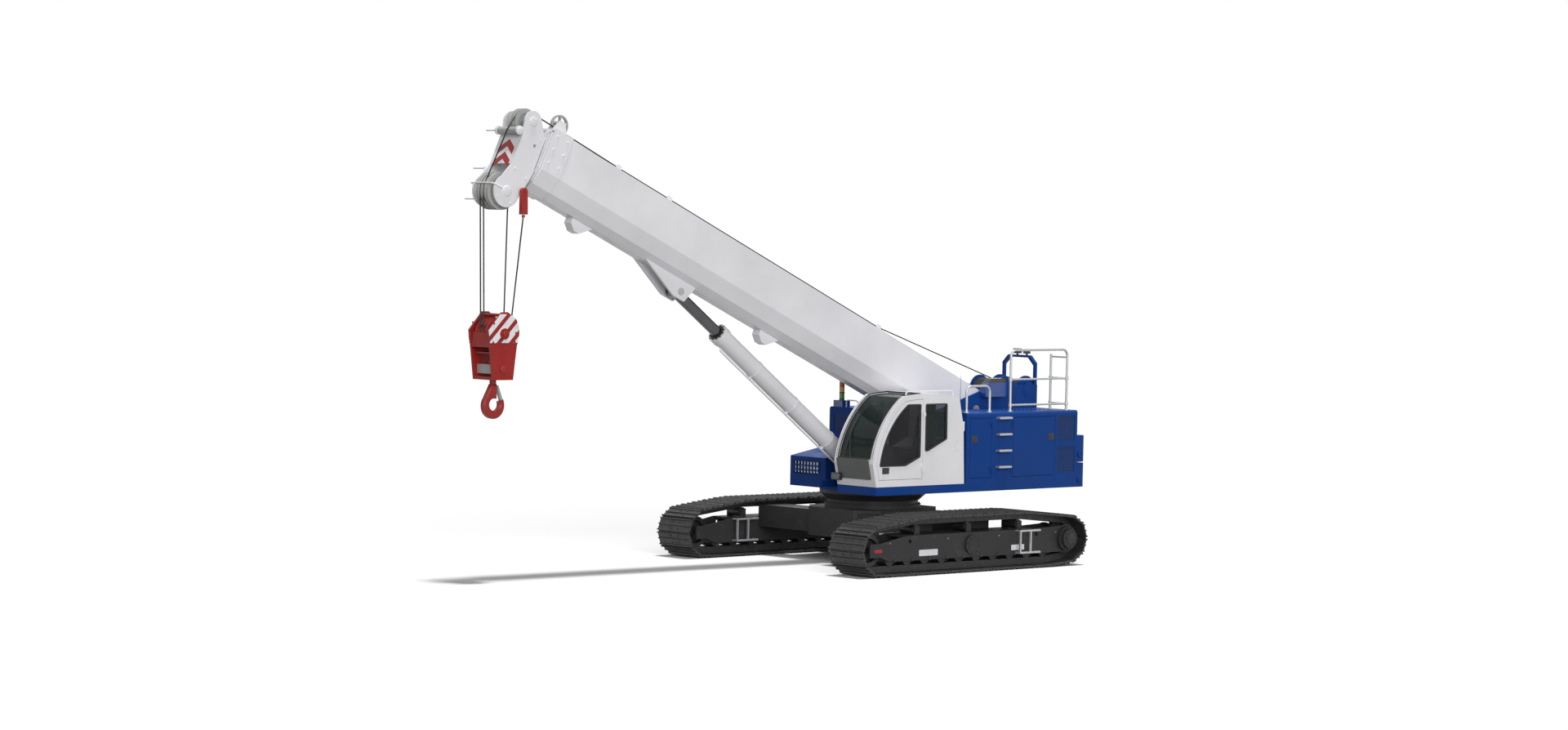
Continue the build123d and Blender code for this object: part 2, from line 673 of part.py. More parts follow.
# Counterweight: two slabs behind the deck, rounded at the tail, with round lifting bosses on their sides
TAIL_ROUND = 120
LIFT_BOSS_RADIUS = 52
LIFT_BOSS_OUT = 24
LIFT_BOSS_BACK = 64
LIFT_BOSS_SHARE = 0.3
for name, z0, z1 in (("lower_counterweight", DECK_BOTTOM, WEIGHT_SPLIT - WEIGHT_GAP / 2),
                     ("upper_counterweight", WEIGHT_SPLIT + WEIGHT_GAP / 2, WEIGHT_TOP)):
    with BuildPart() as counterweight:
        block((-TAIL_REACH, -DECK_REAR), (-DECK_HALF, DECK_HALF), (z0, z1))
        fillet(counterweight.edges().filter_by(Axis.Z).group_by(Axis.X)[0], TAIL_ROUND)
        for way in (1, -1):
            at = (-DECK_REAR - LIFT_BOSS_BACK, z0 + LIFT_BOSS_SHARE * (z1 - z0))
            disc(side(way * DECK_HALF), at, LIFT_BOSS_RADIUS, -way * LIFT_BOSS_OUT)
    save(counterweight.part, name)

# Ladder: four treads between the service doors
LADDER_STEPS = 4
LADDER_FIRST = 1580
LADDER_PITCH = 273
TREAD_THICK = 32
TREAD_REACH = 90
TREAD_MARGIN = 40
with BuildPart() as ladder:
    for k in range(LADDER_STEPS):
        z = LADDER_FIRST + k * LADDER_PITCH
        block((LADDER_X[0] + TREAD_MARGIN, LADDER_X[1] - TREAD_MARGIN), (DECK_HALF, DECK_HALF + TREAD_REACH),
              (z, z + TREAD_THICK))
save(ladder.part, "ladder")

# Railings on the left housing: bent tube hoops, with a return at the rear
RAIL_TOP = 3540
RAIL_MIDDLE = 3050
RAIL_LOW = 2620
SIDE_RAIL_TOP = 2950
RAIL_Y = DECK_HALF - 70
RAIL_BEND = 110
CROSS_RADIUS = 17
RETURN_RADIUS = 15
RAIL_X = (-3290, -1930)
RAIL_RETURN = 380
SIDE_RAIL_X = (-1440, -900)


def hoop(start, end, top):
    """Tube that stands on the housing at two places and bends over at a height."""
    ends = [Vector(SLEW_X + x, y, HOUSING_TOP) for x, y in (start, end)]
    corners = [Vector(p.X, p.Y, top) for p in ends]
    with BuildLine() as path:
        FilletPolyline(ends[0], corners[0], corners[1], ends[1], radius=RAIL_BEND)
    with BuildSketch(Plane(origin=ends[0], z_dir=(0, 0, 1))) as section:
        Circle(RAIL_RADIUS)
    sweep(section.sketch, path=path.line)


def rail(start, end, z, radius):
    """Level tube between two posts."""
    bar((SLEW_X + start[0], start[1], z), (SLEW_X + end[0], end[1], z), radius)


rail_corner = (RAIL_X[0], RAIL_Y)
rail_front = (RAIL_X[1], RAIL_Y)
rail_return = (RAIL_X[0], RAIL_Y - RAIL_RETURN)
return_top = RAIL_TOP - RAIL_BEND
with BuildPart() as rear_railing:
    hoop(rail_corner, rail_front, RAIL_TOP)
    bar((SLEW_X + rail_return[0], rail_return[1], HOUSING_TOP),
        (SLEW_X + rail_return[0], rail_return[1], return_top + RAIL_RADIUS), RAIL_RADIUS)
    rail(rail_corner, rail_return, return_top - RAIL_RADIUS, RETURN_RADIUS)
    for z in (RAIL_MIDDLE, RAIL_LOW):
        rail(rail_corner, rail_front, z, CROSS_RADIUS)
        rail(rail_corner, rail_return, z, RETURN_RADIUS)
save(rear_railing.part, "rear_railing")

with BuildPart() as side_railing:
    hoop((SIDE_RAIL_X[0], RAIL_Y), (SIDE_RAIL_X[1], RAIL_Y), SIDE_RAIL_TOP)
save(side_railing.part, "side_railing")

# Light arch over the winches, with its camera and lamp
ARCH_X = -3440
ARCH_TOP = 3400
ARCH_BAR = 60
ARCH_CORNER = 130
ARCH_WALL = 40
arch_half = support_face + SUPPORT_WALL


def arch_outline(inset):
    """Gate with cut corners, from the support plates up, inset on three sides."""
    half = arch_half - inset
    top = ARCH_TOP - inset
    shoulder = top - ARCH_CORNER
    return [(-half, PLATE_TOP), (-half, shoulder), (ARCH_CORNER - half, top), (half - ARCH_CORNER, top),
            (half, shoulder), (half, PLATE_TOP)]


with BuildPart() as light_arch:
    profile(across(ARCH_X - ARCH_BAR / 2), arch_outline(0), ARCH_BAR)
    profile(across(ARCH_X - ARCH_BAR / 2), arch_outline(ARCH_WALL), ARCH_BAR, mode=Mode.SUBTRACT)
save(light_arch.part, "light_arch")

LAMPS = ((-60, 105, 85), (165, 70, 40))
LAMP_DEPTH = 110
LAMP_STALK = 25
LAMP_FOOT = 18
with BuildPart() as arch_lamps:
    for y, width, height in LAMPS:
        low = ARCH_TOP + LAMP_STALK
        disc(level(ARCH_TOP), (ARCH_X, y), LAMP_FOOT, LAMP_STALK)
        lamp_x = (ARCH_X - LAMP_DEPTH / 2, ARCH_X + LAMP_DEPTH / 2)
        block(lamp_x, (y - width / 2, y + width / 2), (low, low + height))
save(arch_lamps.part, "arch_lamps")

# Beacon: a stack of lamps on a box on the right housing
BEACON_X = -330
BEACON_Y = 190 - DECK_HALF
BEACON_BOX = (90, 110)
BEACON_FOOT = 110
LENS_RADIUS = 45
LENS_HEIGHT = 340
with BuildPart() as beacon:
    foot_top = HOUSING_TOP + BEACON_FOOT
    beacon_x = (BEACON_X - BEACON_BOX[0], BEACON_X + BEACON_BOX[0])
    beacon_y = (BEACON_Y - BEACON_BOX[1], BEACON_Y + BEACON_BOX[1])
    block(beacon_x, beacon_y, (HOUSING_TOP, foot_top))
    disc(level(foot_top), (BEACON_X, BEACON_Y), LENS_RADIUS, LENS_HEIGHT)
save(beacon.part, "beacon")


# Cab: a hollow shell with a curved front, cut for its windows and its door
FRONT_KNEE = (1290, 1720)
FRONT_BULGE = (1055, 2345)
ROOF_FRONT = (606, 2810)
ROOF_CROWN = (0, 2850)
ROOF_REAR = (-660, 2785)
REAR_KNEE = (-770, 2290)
PILLAR = 80
SCREEN_LOW = 1800
SCREEN_REAR = 180
SILL = 1450
FRAME_EDGE = 90
WINDOW_EDGE = 165


def cab_face(inset):
    """Side outline of the cab, inset all round."""
    with BuildSketch(side(0), mode=Mode.PRIVATE) as face:
        with BuildLine():
            Polyline(ROOF_REAR, REAR_KNEE, (CAB_REAR, CAB_BOTTOM), (CAB_FRONT, CAB_BOTTOM), FRONT_KNEE)
            ThreePointArc(FRONT_KNEE, FRONT_BULGE, ROOF_FRONT)
            ThreePointArc(ROOF_FRONT, ROOF_CROWN, ROOF_REAR)
        make_face()
        if inset:
            offset(amount=-inset, kind=Kind.INTERSECTION, mode=Mode.REPLACE)
    return face.sketch


def cab_slab(inset, y0, y1, mode=Mode.ADD):
    """Slab of the cab's outline between two values of y."""
    extrude(cab_face(inset).moved(Location((0, y1, 0))), amount=y1 - y0, mode=mode)


def clip(x, y, z):
    """Keep only what lies between two values of each of x, y and z."""
    block(x, y, z, mode=Mode.INTERSECT)


FAR = 4000
wall_inner = CAB_OUTER - CAB_WALL
rear_window = [(-380, 2097), (-375, 2673), (105, 2673), (105, 1909), (51, 1909)]
door_window = [(226, 1815), (555, 1680), (FAR, 1680), (FAR, 2672), (226, 2672)]

with BuildPart() as door_panel:
    cab_slab(FRAME_EDGE, wall_inner, CAB_OUTER)
    clip((DOOR_HINGE_X + DOOR_GAP, FAR), (0, FAR), (SILL + DOOR_GAP, FAR))
with BuildPart() as door_hole:
    cab_slab(FRAME_EDGE - DOOR_GAP, wall_inner - 1, CAB_OUTER + 1)
    clip((DOOR_HINGE_X, FAR), (0, FAR), (SILL, FAR))
with BuildPart() as door_limits:
    profile(side(CAB_OUTER + 1), door_window, CAB_OUTER - CAB_INNER + 2)
with BuildPart() as door_pane:
    cab_slab(WINDOW_EDGE, CAB_INNER - 1, CAB_OUTER + 1)
    add(door_limits.part, mode=Mode.INTERSECT)

screen_y = (CAB_INNER + PILLAR, CAB_OUTER - PILLAR)
glass_y = (CAB_OUTER - (CAB_WALL + GLASS) / 2, CAB_OUTER - (CAB_WALL - GLASS) / 2)
far_glass_y = (CAB_INNER + (CAB_WALL - GLASS) / 2, CAB_INNER + (CAB_WALL + GLASS) / 2)
back_z = (2080, 2660)
CAB_HINGE_Z = (1560, 2480)

with BuildPart() as cab_shell:
    cab_slab(0, CAB_INNER, CAB_OUTER)
    cab_slab(CAB_WALL, CAB_INNER + CAB_WALL, wall_inner, mode=Mode.SUBTRACT)
    block((SCREEN_REAR, FAR), screen_y, (SCREEN_LOW, FAR), mode=Mode.SUBTRACT)
    block((-FAR, 0), screen_y, back_z, mode=Mode.SUBTRACT)
    profile(side(CAB_OUTER + 1), rear_window, CAB_OUTER - CAB_INNER + 2, mode=Mode.SUBTRACT)
    add(door_hole.part, mode=Mode.SUBTRACT)
    add(door_pane.part, mode=Mode.SUBTRACT)
    for z in CAB_HINGE_Z:
        hinge_leaf(DOOR_HINGE_X, CAB_OUTER, 1, z, -LEAF_REACH)
save(cab_shell.part, "cab_shell")

with BuildPart() as cab_door:
    add(door_panel.part)
    add(door_pane.part, mode=Mode.SUBTRACT)
    for z in CAB_HINGE_Z:
        hinge_leaf(DOOR_HINGE_X, CAB_OUTER, 1, z + KNUCKLE_LENGTH + RUNNING_GAP, LEAF_REACH)
save(cab_door.part, "cab_door")

with BuildPart() as door_glass:
    add(door_pane.part)
    clip((-FAR, FAR), glass_y, (0, FAR))
save(door_glass.part, "door_glass")

with BuildPart() as far_pane:
    add(door_pane.part)
    clip((-FAR, FAR), far_glass_y, (0, FAR))
with BuildPart() as cab_glass:
    cab_slab((CAB_WALL - GLASS) / 2, *screen_y)
    cab_slab((CAB_WALL + GLASS) / 2, *screen_y, mode=Mode.SUBTRACT)
    clip((SCREEN_REAR, FAR), screen_y, (SCREEN_LOW, FAR))
    profile(side(glass_y[1]), rear_window, GLASS)
    profile(side(far_glass_y[1]), rear_window, GLASS)
    add(far_pane.part)
save(cab_glass.part, "cab_glass")

# Seat and console, seen through the glass
SEAT_Y = (640, 1120)
floor = CAB_BOTTOM + CAB_WALL
with BuildPart() as cab_seat:
    profile(side(SEAT_Y[1]), [(-330, floor), (60, floor), (60, 1640), (200, 1700), (200, 1840), (-300, 1790),
                              (-440, 2480), (-570, 2460), (-430, 1640)], SEAT_Y[1] - SEAT_Y[0])
save(cab_seat.part, "cab_seat")

with BuildPart() as cab_console:
    profile(side(SEAT_Y[1]), [(620, floor), (900, floor), (860, 1900), (760, 2030), (720, 2020), (680, 1860)],
            SEAT_Y[1] - SEAT_Y[0] - 140)
    block((-300, 330), (SEAT_Y[0] - 160, SEAT_Y[0] - 30), (floor, 1930))
save(cab_console.part, "cab_console")

# Boom: four nested box sections with a bent belly
boom_points = [
    (-BOOM_WIDTH / 2, BOOM_TOP), (-BOOM_WIDTH / 2, -BOOM_BEND), (-KNEE_WIDTH / 2, -KNEE_DROP),
    (-BELLY_WIDTH / 2, -BOOM_BELLY), (BELLY_WIDTH / 2, -BOOM_BELLY), (KNEE_WIDTH / 2, -KNEE_DROP),
    (BOOM_WIDTH / 2, -BOOM_BEND), (BOOM_WIDTH / 2, BOOM_TOP)]


def boom_run(inset, start, end, mode=Mode.ADD):
    """Length of the boom's section, inset from the base's outside."""
    with BuildSketch(boom_across(start), mode=Mode.PRIVATE) as section:
        with BuildLine():
            Polyline(*boom_points, close=True)
        make_face()
        if inset:
            offset(amount=-inset, kind=Kind.INTERSECTION, mode=Mode.REPLACE)
    extrude(section.sketch, amount=end - start, mode=mode)


def wear_pads(inset, end):
    """Pads inside the mouth of a section, which the next section slides on."""
    room = SECTION_GAP - RUNNING_GAP
    ceiling = BOOM_TOP - inset - room / 2
    for y, up in ((-PAD_WIDTH * 2, ceiling), (PAD_WIDTH * 2, ceiling), (0, inset - BOOM_BELLY + room / 2)):
        with BuildSketch(boom_across(end - PAD_LENGTH)) as pad:
            with Locations((y, up)):
                Rectangle(PAD_WIDTH, room)
        extrude(pad.sketch, amount=PAD_LENGTH)


step = BOOM_WALL + SECTION_GAP
EAR_LOW = EYE_DROP + EYE_RADIUS + EAR_BELOW
FOOT_CUT = 620
FOOT_CUT_TOP = -120
REST_LUGS = (9165, 4820)
LUG_LENGTH = 460
LUG_TIP = 215
LUG_DEPTH = 180
LUG_HALF = 85
ROPE_GUIDES = (2400, 7480, 8640)
GUIDE_GAP = 120
GUIDE_WALL = 16
GUIDE_HALF = 75
GUIDE_CREST = 45
GUIDE_HEIGHT = 150
GUIDE_BAR = 26
WHEEL_AT = (9960, 560)
WHEEL_FOOT = 190
WHEEL_CREST = 60
FIN_GAP = 110
FIN_WALL = 20
WHEEL_PIN = 24
support_slot = support_face - BOOM_WIDTH / 2
with BuildPart() as boom_base:
    boom_run(0, -BOOM_REAR, BASE_END)
    boom_run(-COLLAR_RISE, BASE_END - COLLAR_LENGTH, BASE_END)
    boom_run(BOOM_WALL, BOOM_WALL - BOOM_REAR, BASE_END, mode=Mode.SUBTRACT)
    wear_pads(BOOM_WALL, BASE_END)
    for way in (1, -1):
        boss = boom_side(way * (support_face - RUNNING_GAP))
        disc(boss, (0, 0), FOOT_BOSS, way * (support_slot + BOOM_WALL * 3))
        ear = way * (EAR_GAP + EAR_WALL) / 2
        profile(boom_side(ear), [
            (EYE_ALONG - EAR_BACK, BOOM_WALL - BOOM_BELLY), (EYE_ALONG - EAR_TIP, -EAR_LOW),
            (EYE_ALONG + EAR_TIP, -EAR_LOW), (EYE_ALONG + EAR_AHEAD, BOOM_WALL - BOOM_BELLY)],
            EAR_WALL / 2, both=True)
        for along in ROPE_GUIDES:
            profile(boom_side(way * (GUIDE_GAP + GUIDE_WALL) / 2), [
                (along - GUIDE_HALF, BOOM_TOP - BOOM_WALL), (along - GUIDE_CREST, BOOM_TOP + GUIDE_HEIGHT),
                (along + GUIDE_CREST, BOOM_TOP + GUIDE_HEIGHT), (along + GUIDE_HALF, BOOM_TOP - BOOM_WALL)],
                GUIDE_WALL / 2, both=True)
        profile(boom_side(way * (FIN_GAP + FIN_WALL) / 2), [
            (WHEEL_AT[0] - WHEEL_FOOT, BOOM_TOP), (WHEEL_AT[0] - WHEEL_CREST, WHEEL_AT[1] + WHEEL_CREST),
            (WHEEL_AT[0] + WHEEL_CREST, WHEEL_AT[1] + WHEEL_CREST), (WHEEL_AT[0] + WHEEL_FOOT, BOOM_TOP)],
            FIN_WALL / 2, both=True)
    for along in ROPE_GUIDES:
        disc(boom_side(0), (along, BOOM_TOP + GUIDE_HEIGHT / 2), GUIDE_BAR, GUIDE_GAP / 2, both=True)
    for along in REST_LUGS:
        profile(boom_side(0), [
            (along, BOOM_WALL - BOOM_BELLY), (along, -BOOM_BELLY - LUG_DEPTH / 2),
            (along - LUG_TIP / 2, -BOOM_BELLY - LUG_DEPTH), (along - LUG_TIP, -BOOM_BELLY - LUG_DEPTH),
            (along - LUG_LENGTH, BOOM_WALL - BOOM_BELLY)], LUG_HALF, both=True)
    profile(boom_side(0), [
        (-BOOM_REAR - 1, FOOT_CUT_TOP), (-BOOM_REAR - 1, -BOOM_BELLY - 1), (FOOT_CUT, -BOOM_BELLY - 1)],
        BOOM_WIDTH, both=True, mode=Mode.SUBTRACT)
    disc(boom_side(0), (0, 0), FOOT_PIN_RADIUS + RUNNING_GAP, BOOM_WIDTH, both=True, mode=Mode.SUBTRACT)
    disc(boom_side(0), (EYE_ALONG, -EYE_DROP), CYLINDER_PIN_RADIUS, BOOM_WIDTH, both=True, mode=Mode.SUBTRACT)
save(boom_base.part, "boom_base")

for k, name in enumerate(("boom_second_section", "boom_third_section", "boom_tip_section"), start=1):
    rear = SECTION_REAR + SECTION_REAR_STEP * (k - 1)
    end = BASE_END + SECTION_STEP * k
    with BuildPart() as section:
        boom_run(step * k, rear, end)
        boom_run(step * k + BOOM_WALL, rear - 1, end + 1, mode=Mode.SUBTRACT)
        if k < 3:
            wear_pads(step * k + BOOM_WALL, end)
    save(section.part, name)

with BuildPart() as boom_foot_pin:
    disc(boom_side(0), (0, 0), FOOT_PIN_RADIUS, support_face + SUPPORT_WALL + PIN_END, both=True)
save(boom_foot_pin.part, "boom_foot_pin")

# Boom head: a tongue inside the tip section's mouth, a bulkhead, and two lobed cheeks tied by a front plate
tip_end = BASE_END + SECTION_STEP * 3
TONGUE_LENGTH = 190
TONGUE_UP = (-260, 180)
HEAD_LIP = 8
tongue_face = BOOM_WIDTH / 2 - step * 3 - BOOM_WALL
lip = tip_end + HEAD_LIP
cheek_inner = HEAD_HALF - HEAD_PLATE
head_outline = [
    (lip, HEAD_HEEL), (lip, HEAD_SHOULDER),
    (TOP_SHEAVE_AT[0] - TOP_LOBE * cos(pi / 4), TOP_SHEAVE_AT[1] + TOP_LOBE * sin(pi / 4)),
    (TOP_SHEAVE_AT[0] + TOP_LOBE, TOP_SHEAVE_AT[1]), (HEAD_FACE, HEAD_BROW), (HEAD_FACE, HEAD_WAIST),
    (LOW_SHEAVE_AT[0] + LOW_LOBE, LOW_SHEAVE_AT[1]), (LOW_SHEAVE_AT[0] - LOW_LOBE, LOW_SHEAVE_AT[1])]
lobes = ((LOW_SHEAVE_AT, LOW_LOBE), (TOP_SHEAVE_AT, TOP_LOBE), (GUIDE_ROLLER_AT, GUIDE_LOBE))


def upright(y, along, up, amount, both=False):
    """Plate between two lengths along the boom and two heights across it."""
    corners = [(along[0], up[0]), (along[0], up[1]), (along[1], up[1]), (along[1], up[0])]
    profile(boom_side(y), corners, amount, both=both)


with BuildPart() as boom_head:
    for way in (1, -1):
        with BuildSketch(boom_side(way * HEAD_HALF)):
            with BuildLine():
                Polyline(*head_outline, close=True)
            make_face()
            for at, radius in lobes:
                with Locations(at):
                    Circle(radius)
        extrude(amount=way * HEAD_PLATE)
        upright(way * tongue_face, (tip_end - TONGUE_LENGTH, lip), TONGUE_UP, way * HEAD_PLATE)
    upright(0, (lip, lip + HEAD_PLATE), (HEAD_HEEL, HEAD_SHOULDER), cheek_inner, both=True)
    upright(0, (HEAD_FACE - HEAD_PLATE, HEAD_FACE), (HEAD_WAIST, HEAD_BROW), cheek_inner, both=True)
    for at in (LOW_SHEAVE_AT, TOP_SHEAVE_AT, GUIDE_ROLLER_AT):
        disc(boom_side(0), at, SHEAVE_PIN + RUNNING_GAP, HEAD_HALF, both=True, mode=Mode.SUBTRACT)
    disc(boom_side(0), JIB_BORE_AT, JIB_BORE / 2, HEAD_HALF, both=True, mode=Mode.SUBTRACT)
save(boom_head.part, "boom_head")

# Rope wheels: a grooved rim on a thin web and a hub
RIM_WIDTH = 48
RIM_EDGE = 7
WEB_HALF = 12
HUB_EDGE = 26


def sheave(plane, at, radius):
    """Rope wheel turned about a point of a plane, with a groove that takes the rope."""
    centre = plane.from_local_coords((*at, 0))
    half = SHEAVE_WIDTH / 2
    hub = SHEAVE_PIN + HUB_EDGE
    rim = radius - GROOVE - RIM_WIDTH
    floor_half = ROPE_RADIUS + RUNNING_GAP
    right = [(0, half), (hub, half), (hub, WEB_HALF), (rim, WEB_HALF), (rim, half), (radius, half),
             (radius, half - RIM_EDGE), (radius - GROOVE, floor_half)]
    left = [(r, -y) for r, y in reversed(right)]
    with BuildSketch(Plane(origin=centre, x_dir=plane.x_dir, z_dir=-plane.y_dir)) as section:
        with BuildLine():
            Polyline(*right, *left, close=True)
        make_face()
    revolve(section.sketch, axis=Axis(centre, plane.z_dir))


pin_half = HEAD_HALF + PIN_END
with BuildPart() as head_sheaves:
    for k in range(4):
        y = (k - 1.5) * SHEAVE_PITCH
        sheave(boom_side(y), LOW_SHEAVE_AT, LOW_SHEAVE_RADIUS)
    disc(boom_side(0), LOW_SHEAVE_AT, SHEAVE_PIN, pin_half, both=True)
save(head_sheaves.part, "head_sheaves")

with BuildPart() as top_sheaves:
    for y in (-SHEAVE_PITCH / 2, SHEAVE_PITCH / 2):
        sheave(boom_side(y), TOP_SHEAVE_AT, TOP_SHEAVE_RADIUS)
    disc(boom_side(0), TOP_SHEAVE_AT, SHEAVE_PIN, pin_half, both=True)
    disc(boom_side(0), GUIDE_ROLLER_AT, SHEAVE_PIN, pin_half, both=True)
    disc(boom_side(0), GUIDE_ROLLER_AT, GUIDE_ROLLER_RADIUS, cheek_inner - RUNNING_GAP, both=True)
save(top_sheaves.part, "top_sheaves")

# Guide wheel: a spoked wheel between the fins on the base section's collar
GUIDE_WHEEL_RADIUS = 165
GUIDE_WHEEL_WIDTH = 46
GUIDE_RIM = 26
SPOKES = 5
SPOKE_WIDTH = 26
with BuildPart() as guide_wheel:
    with BuildSketch(boom_side(0)):
        with Locations(WHEEL_AT):
            Circle(GUIDE_WHEEL_RADIUS)
            Circle(GUIDE_WHEEL_RADIUS - GUIDE_RIM, mode=Mode.SUBTRACT)
            Circle(2 * WHEEL_PIN)
            with PolarLocations(GUIDE_WHEEL_RADIUS / 2, SPOKES):
                Rectangle(GUIDE_WHEEL_RADIUS - GUIDE_RIM, SPOKE_WIDTH)
    extrude(amount=GUIDE_WHEEL_WIDTH / 2, both=True)
    disc(boom_side(0), WHEEL_AT, WHEEL_PIN, FIN_GAP / 2, both=True)
save(guide_wheel.part, "guide_wheel")

# Luffing cylinder: pin, tube with its tail eye, and rod with its eye
cylinder_foot = Vector(SLEW_X + CYLINDER_X, 0, CYLINDER_Z)
rod_eye = on_boom(EYE_ALONG, -EYE_DROP)
cylinder_run = rod_eye - cylinder_foot
cylinder_along = cylinder_run.normalized()


def cylinder_side(y):
    """Plane along the cylinder, from its lower pin."""
    return Plane(origin=cylinder_foot + Vector(0, y, 0), x_dir=cylinder_along, z_dir=(0, -1, 0))


def cylinder_across(along):
    """Plane across the cylinder."""
    return Plane(origin=cylinder_foot + cylinder_along * along, x_dir=(0, 1, 0), z_dir=cylinder_along)


TUBE_START = 240
TUBE_WALL = 40
PISTON_RADIUS = 120
PISTON_AT = 900
PISTON_LENGTH = 130
pin_bore = CYLINDER_PIN_RADIUS + RUNNING_GAP
GLAND_LENGTH = 150
GLAND_RADIUS = 168
with BuildPart() as cylinder_pin:
    disc(cylinder_side(0), (0, 0), CYLINDER_PIN_RADIUS, EAR_GAP / 2 + EAR_WALL + PIN_END, both=True)
save(cylinder_pin.part, "cylinder_pin")

with BuildPart() as rod_pin:
    for way in (1, -1):
        ear_inside = boom_side(way * EAR_GAP / 2)
        disc(ear_inside, (EYE_ALONG, -EYE_DROP), CYLINDER_PIN_RADIUS, -way * (EAR_WALL + PIN_END))
save(rod_pin.part, "rod_pin")

with BuildPart() as cylinder_tube:
    disc(cylinder_across(TUBE_START), (0, 0), TUBE_RADIUS, TUBE_LENGTH - TUBE_START)
    disc(cylinder_across(TUBE_LENGTH - GLAND_LENGTH), (0, 0), GLAND_RADIUS, GLAND_LENGTH)
    profile(cylinder_side(0), [
        (0, -EYE_RADIUS), (TUBE_START, -TUBE_RADIUS), (TUBE_START, TUBE_RADIUS), (0, EYE_RADIUS)],
            EYE_WIDTH / 2, both=True)
    disc(cylinder_side(0), (0, 0), EYE_RADIUS, EYE_WIDTH / 2, both=True)
    disc(cylinder_side(0), (0, 0), pin_bore, EYE_WIDTH, both=True, mode=Mode.SUBTRACT)
    bore_foot = TUBE_START + TUBE_WALL
    bore_length = TUBE_LENGTH - GLAND_LENGTH - bore_foot
    disc(cylinder_across(bore_foot), (0, 0), PISTON_RADIUS + RUNNING_GAP, bore_length, mode=Mode.SUBTRACT)
    disc(cylinder_across(bore_foot), (0, 0), ROD_RADIUS + RUNNING_GAP, TUBE_LENGTH, mode=Mode.SUBTRACT)
save(cylinder_tube.part, "cylinder_tube")

rod_length = cylinder_run.length
with BuildPart() as cylinder_rod:
    disc(cylinder_across(PISTON_AT), (0, 0), PISTON_RADIUS, PISTON_LENGTH)
    disc(cylinder_across(PISTON_AT), (0, 0), ROD_RADIUS, rod_length - PISTON_AT)
    disc(cylinder_side(0), (rod_length, 0), EYE_RADIUS, EYE_WIDTH / 2, both=True)
    disc(cylinder_side(0), (rod_length, 0), pin_bore, EYE_WIDTH, both=True, mode=Mode.SUBTRACT)
save(cylinder_rod.part, "cylinder_rod")

# Hook block: falls of rope, cheeks, sheaves, crosshead, hook and its latch
low_sheave = on_boom(*LOW_SHEAVE_AT)
block_x = low_sheave.X - SLEW_X
AXLE_Z = BLOCK_TOP - 330
CROSSHEAD_Z = (BLOCK_BOTTOM + 95, BLOCK_BOTTOM + 235)
rope_top = LOW_SHEAVE_RADIUS - GROOVE + ROPE_RADIUS + RUNNING_GAP
rope_foot = BLOCK_SHEAVE_RADIUS - GROOVE + ROPE_RADIUS + RUNNING_GAP
with BuildPart() as fall_ropes:
    for way, y in ((1, -SHEAVE_PITCH / 2), (1, SHEAVE_PITCH / 2), (-1, -SHEAVE_PITCH / 2)):
        top = (low_sheave.X + way * rope_top, y, low_sheave.Z)
        bar(top, (low_sheave.X + way * rope_foot, y, AXLE_Z), ROPE_RADIUS)
save(fall_ropes.part, "fall_ropes")

WAIST_Z = 3690
WAIST_HALF = 265
FOOT_HALF = 195
DOUBLER = 12
CREST_FRONT = 40
CREST_REAR = 70
REAR_CORNER = (235, 110)
FRONT_RISE = 50
REAR_RISE = 90
REAR_DROP = 20
AXLE_BOSS_RADIUS = 85
AXLE_BOSS = 22
GUARD_GAP = 6
GUARD_WALL = 12
GUARD_Z = (3640, 3870)
SHELF_Z = (3540, 3565)
BASE_WALL = 50
TIE_BAR = 24
TIE_BARS = ((40, -45), (-90, -55))
SHANK_RADIUS = 52
SHANK_CLEAR = 5
CROSSHEAD_HALF = 140
cheek = BLOCK_WIDTH / 2
cheek_inside = cheek - CHEEK_WALL
half_length = BLOCK_LENGTH / 2
upper_outline = [
    (block_x + WAIST_HALF, WAIST_Z), (block_x + half_length, AXLE_Z + FRONT_RISE),
    (block_x + CREST_FRONT, BLOCK_TOP),
    (block_x - CREST_REAR, BLOCK_TOP), (block_x - REAR_CORNER[0], BLOCK_TOP - REAR_CORNER[1]),
    (block_x - half_length, AXLE_Z + REAR_RISE), (block_x - half_length, AXLE_Z - REAR_DROP),
    (block_x - WAIST_HALF, WAIST_Z)]
lower_outline = [(block_x - FOOT_HALF, BLOCK_BOTTOM), (block_x + FOOT_HALF, BLOCK_BOTTOM)]
with BuildPart() as hook_block:
    for way in (1, -1):
        profile(side(way * cheek), upper_outline + lower_outline, way * CHEEK_WALL)
        profile(side(way * cheek), upper_outline, -way * DOUBLER)
        disc(side(way * (cheek + DOUBLER)), (block_x, AXLE_Z), AXLE_BOSS_RADIUS, -way * AXLE_BOSS)
        guard = block_x + way * (BLOCK_SHEAVE_RADIUS + GUARD_GAP)
        block(sorted((guard, guard + way * GUARD_WALL)), (-cheek_inside, cheek_inside), GUARD_Z)
    block((block_x - FOOT_HALF, block_x + FOOT_HALF), (-cheek_inside, cheek_inside), SHELF_Z)
    block((block_x - FOOT_HALF, block_x + FOOT_HALF), (-cheek_inside, cheek_inside),
          (BLOCK_BOTTOM, BLOCK_BOTTOM + BASE_WALL))
    for x, drop in TIE_BARS:
        disc(side(0), (block_x + x, BLOCK_TOP + drop), TIE_BAR, cheek_inside, both=True)
    disc(level(BLOCK_BOTTOM), (block_x, 0), SHANK_RADIUS + SHANK_CLEAR, BASE_WALL, mode=Mode.SUBTRACT)
save(hook_block.part, "hook_block")

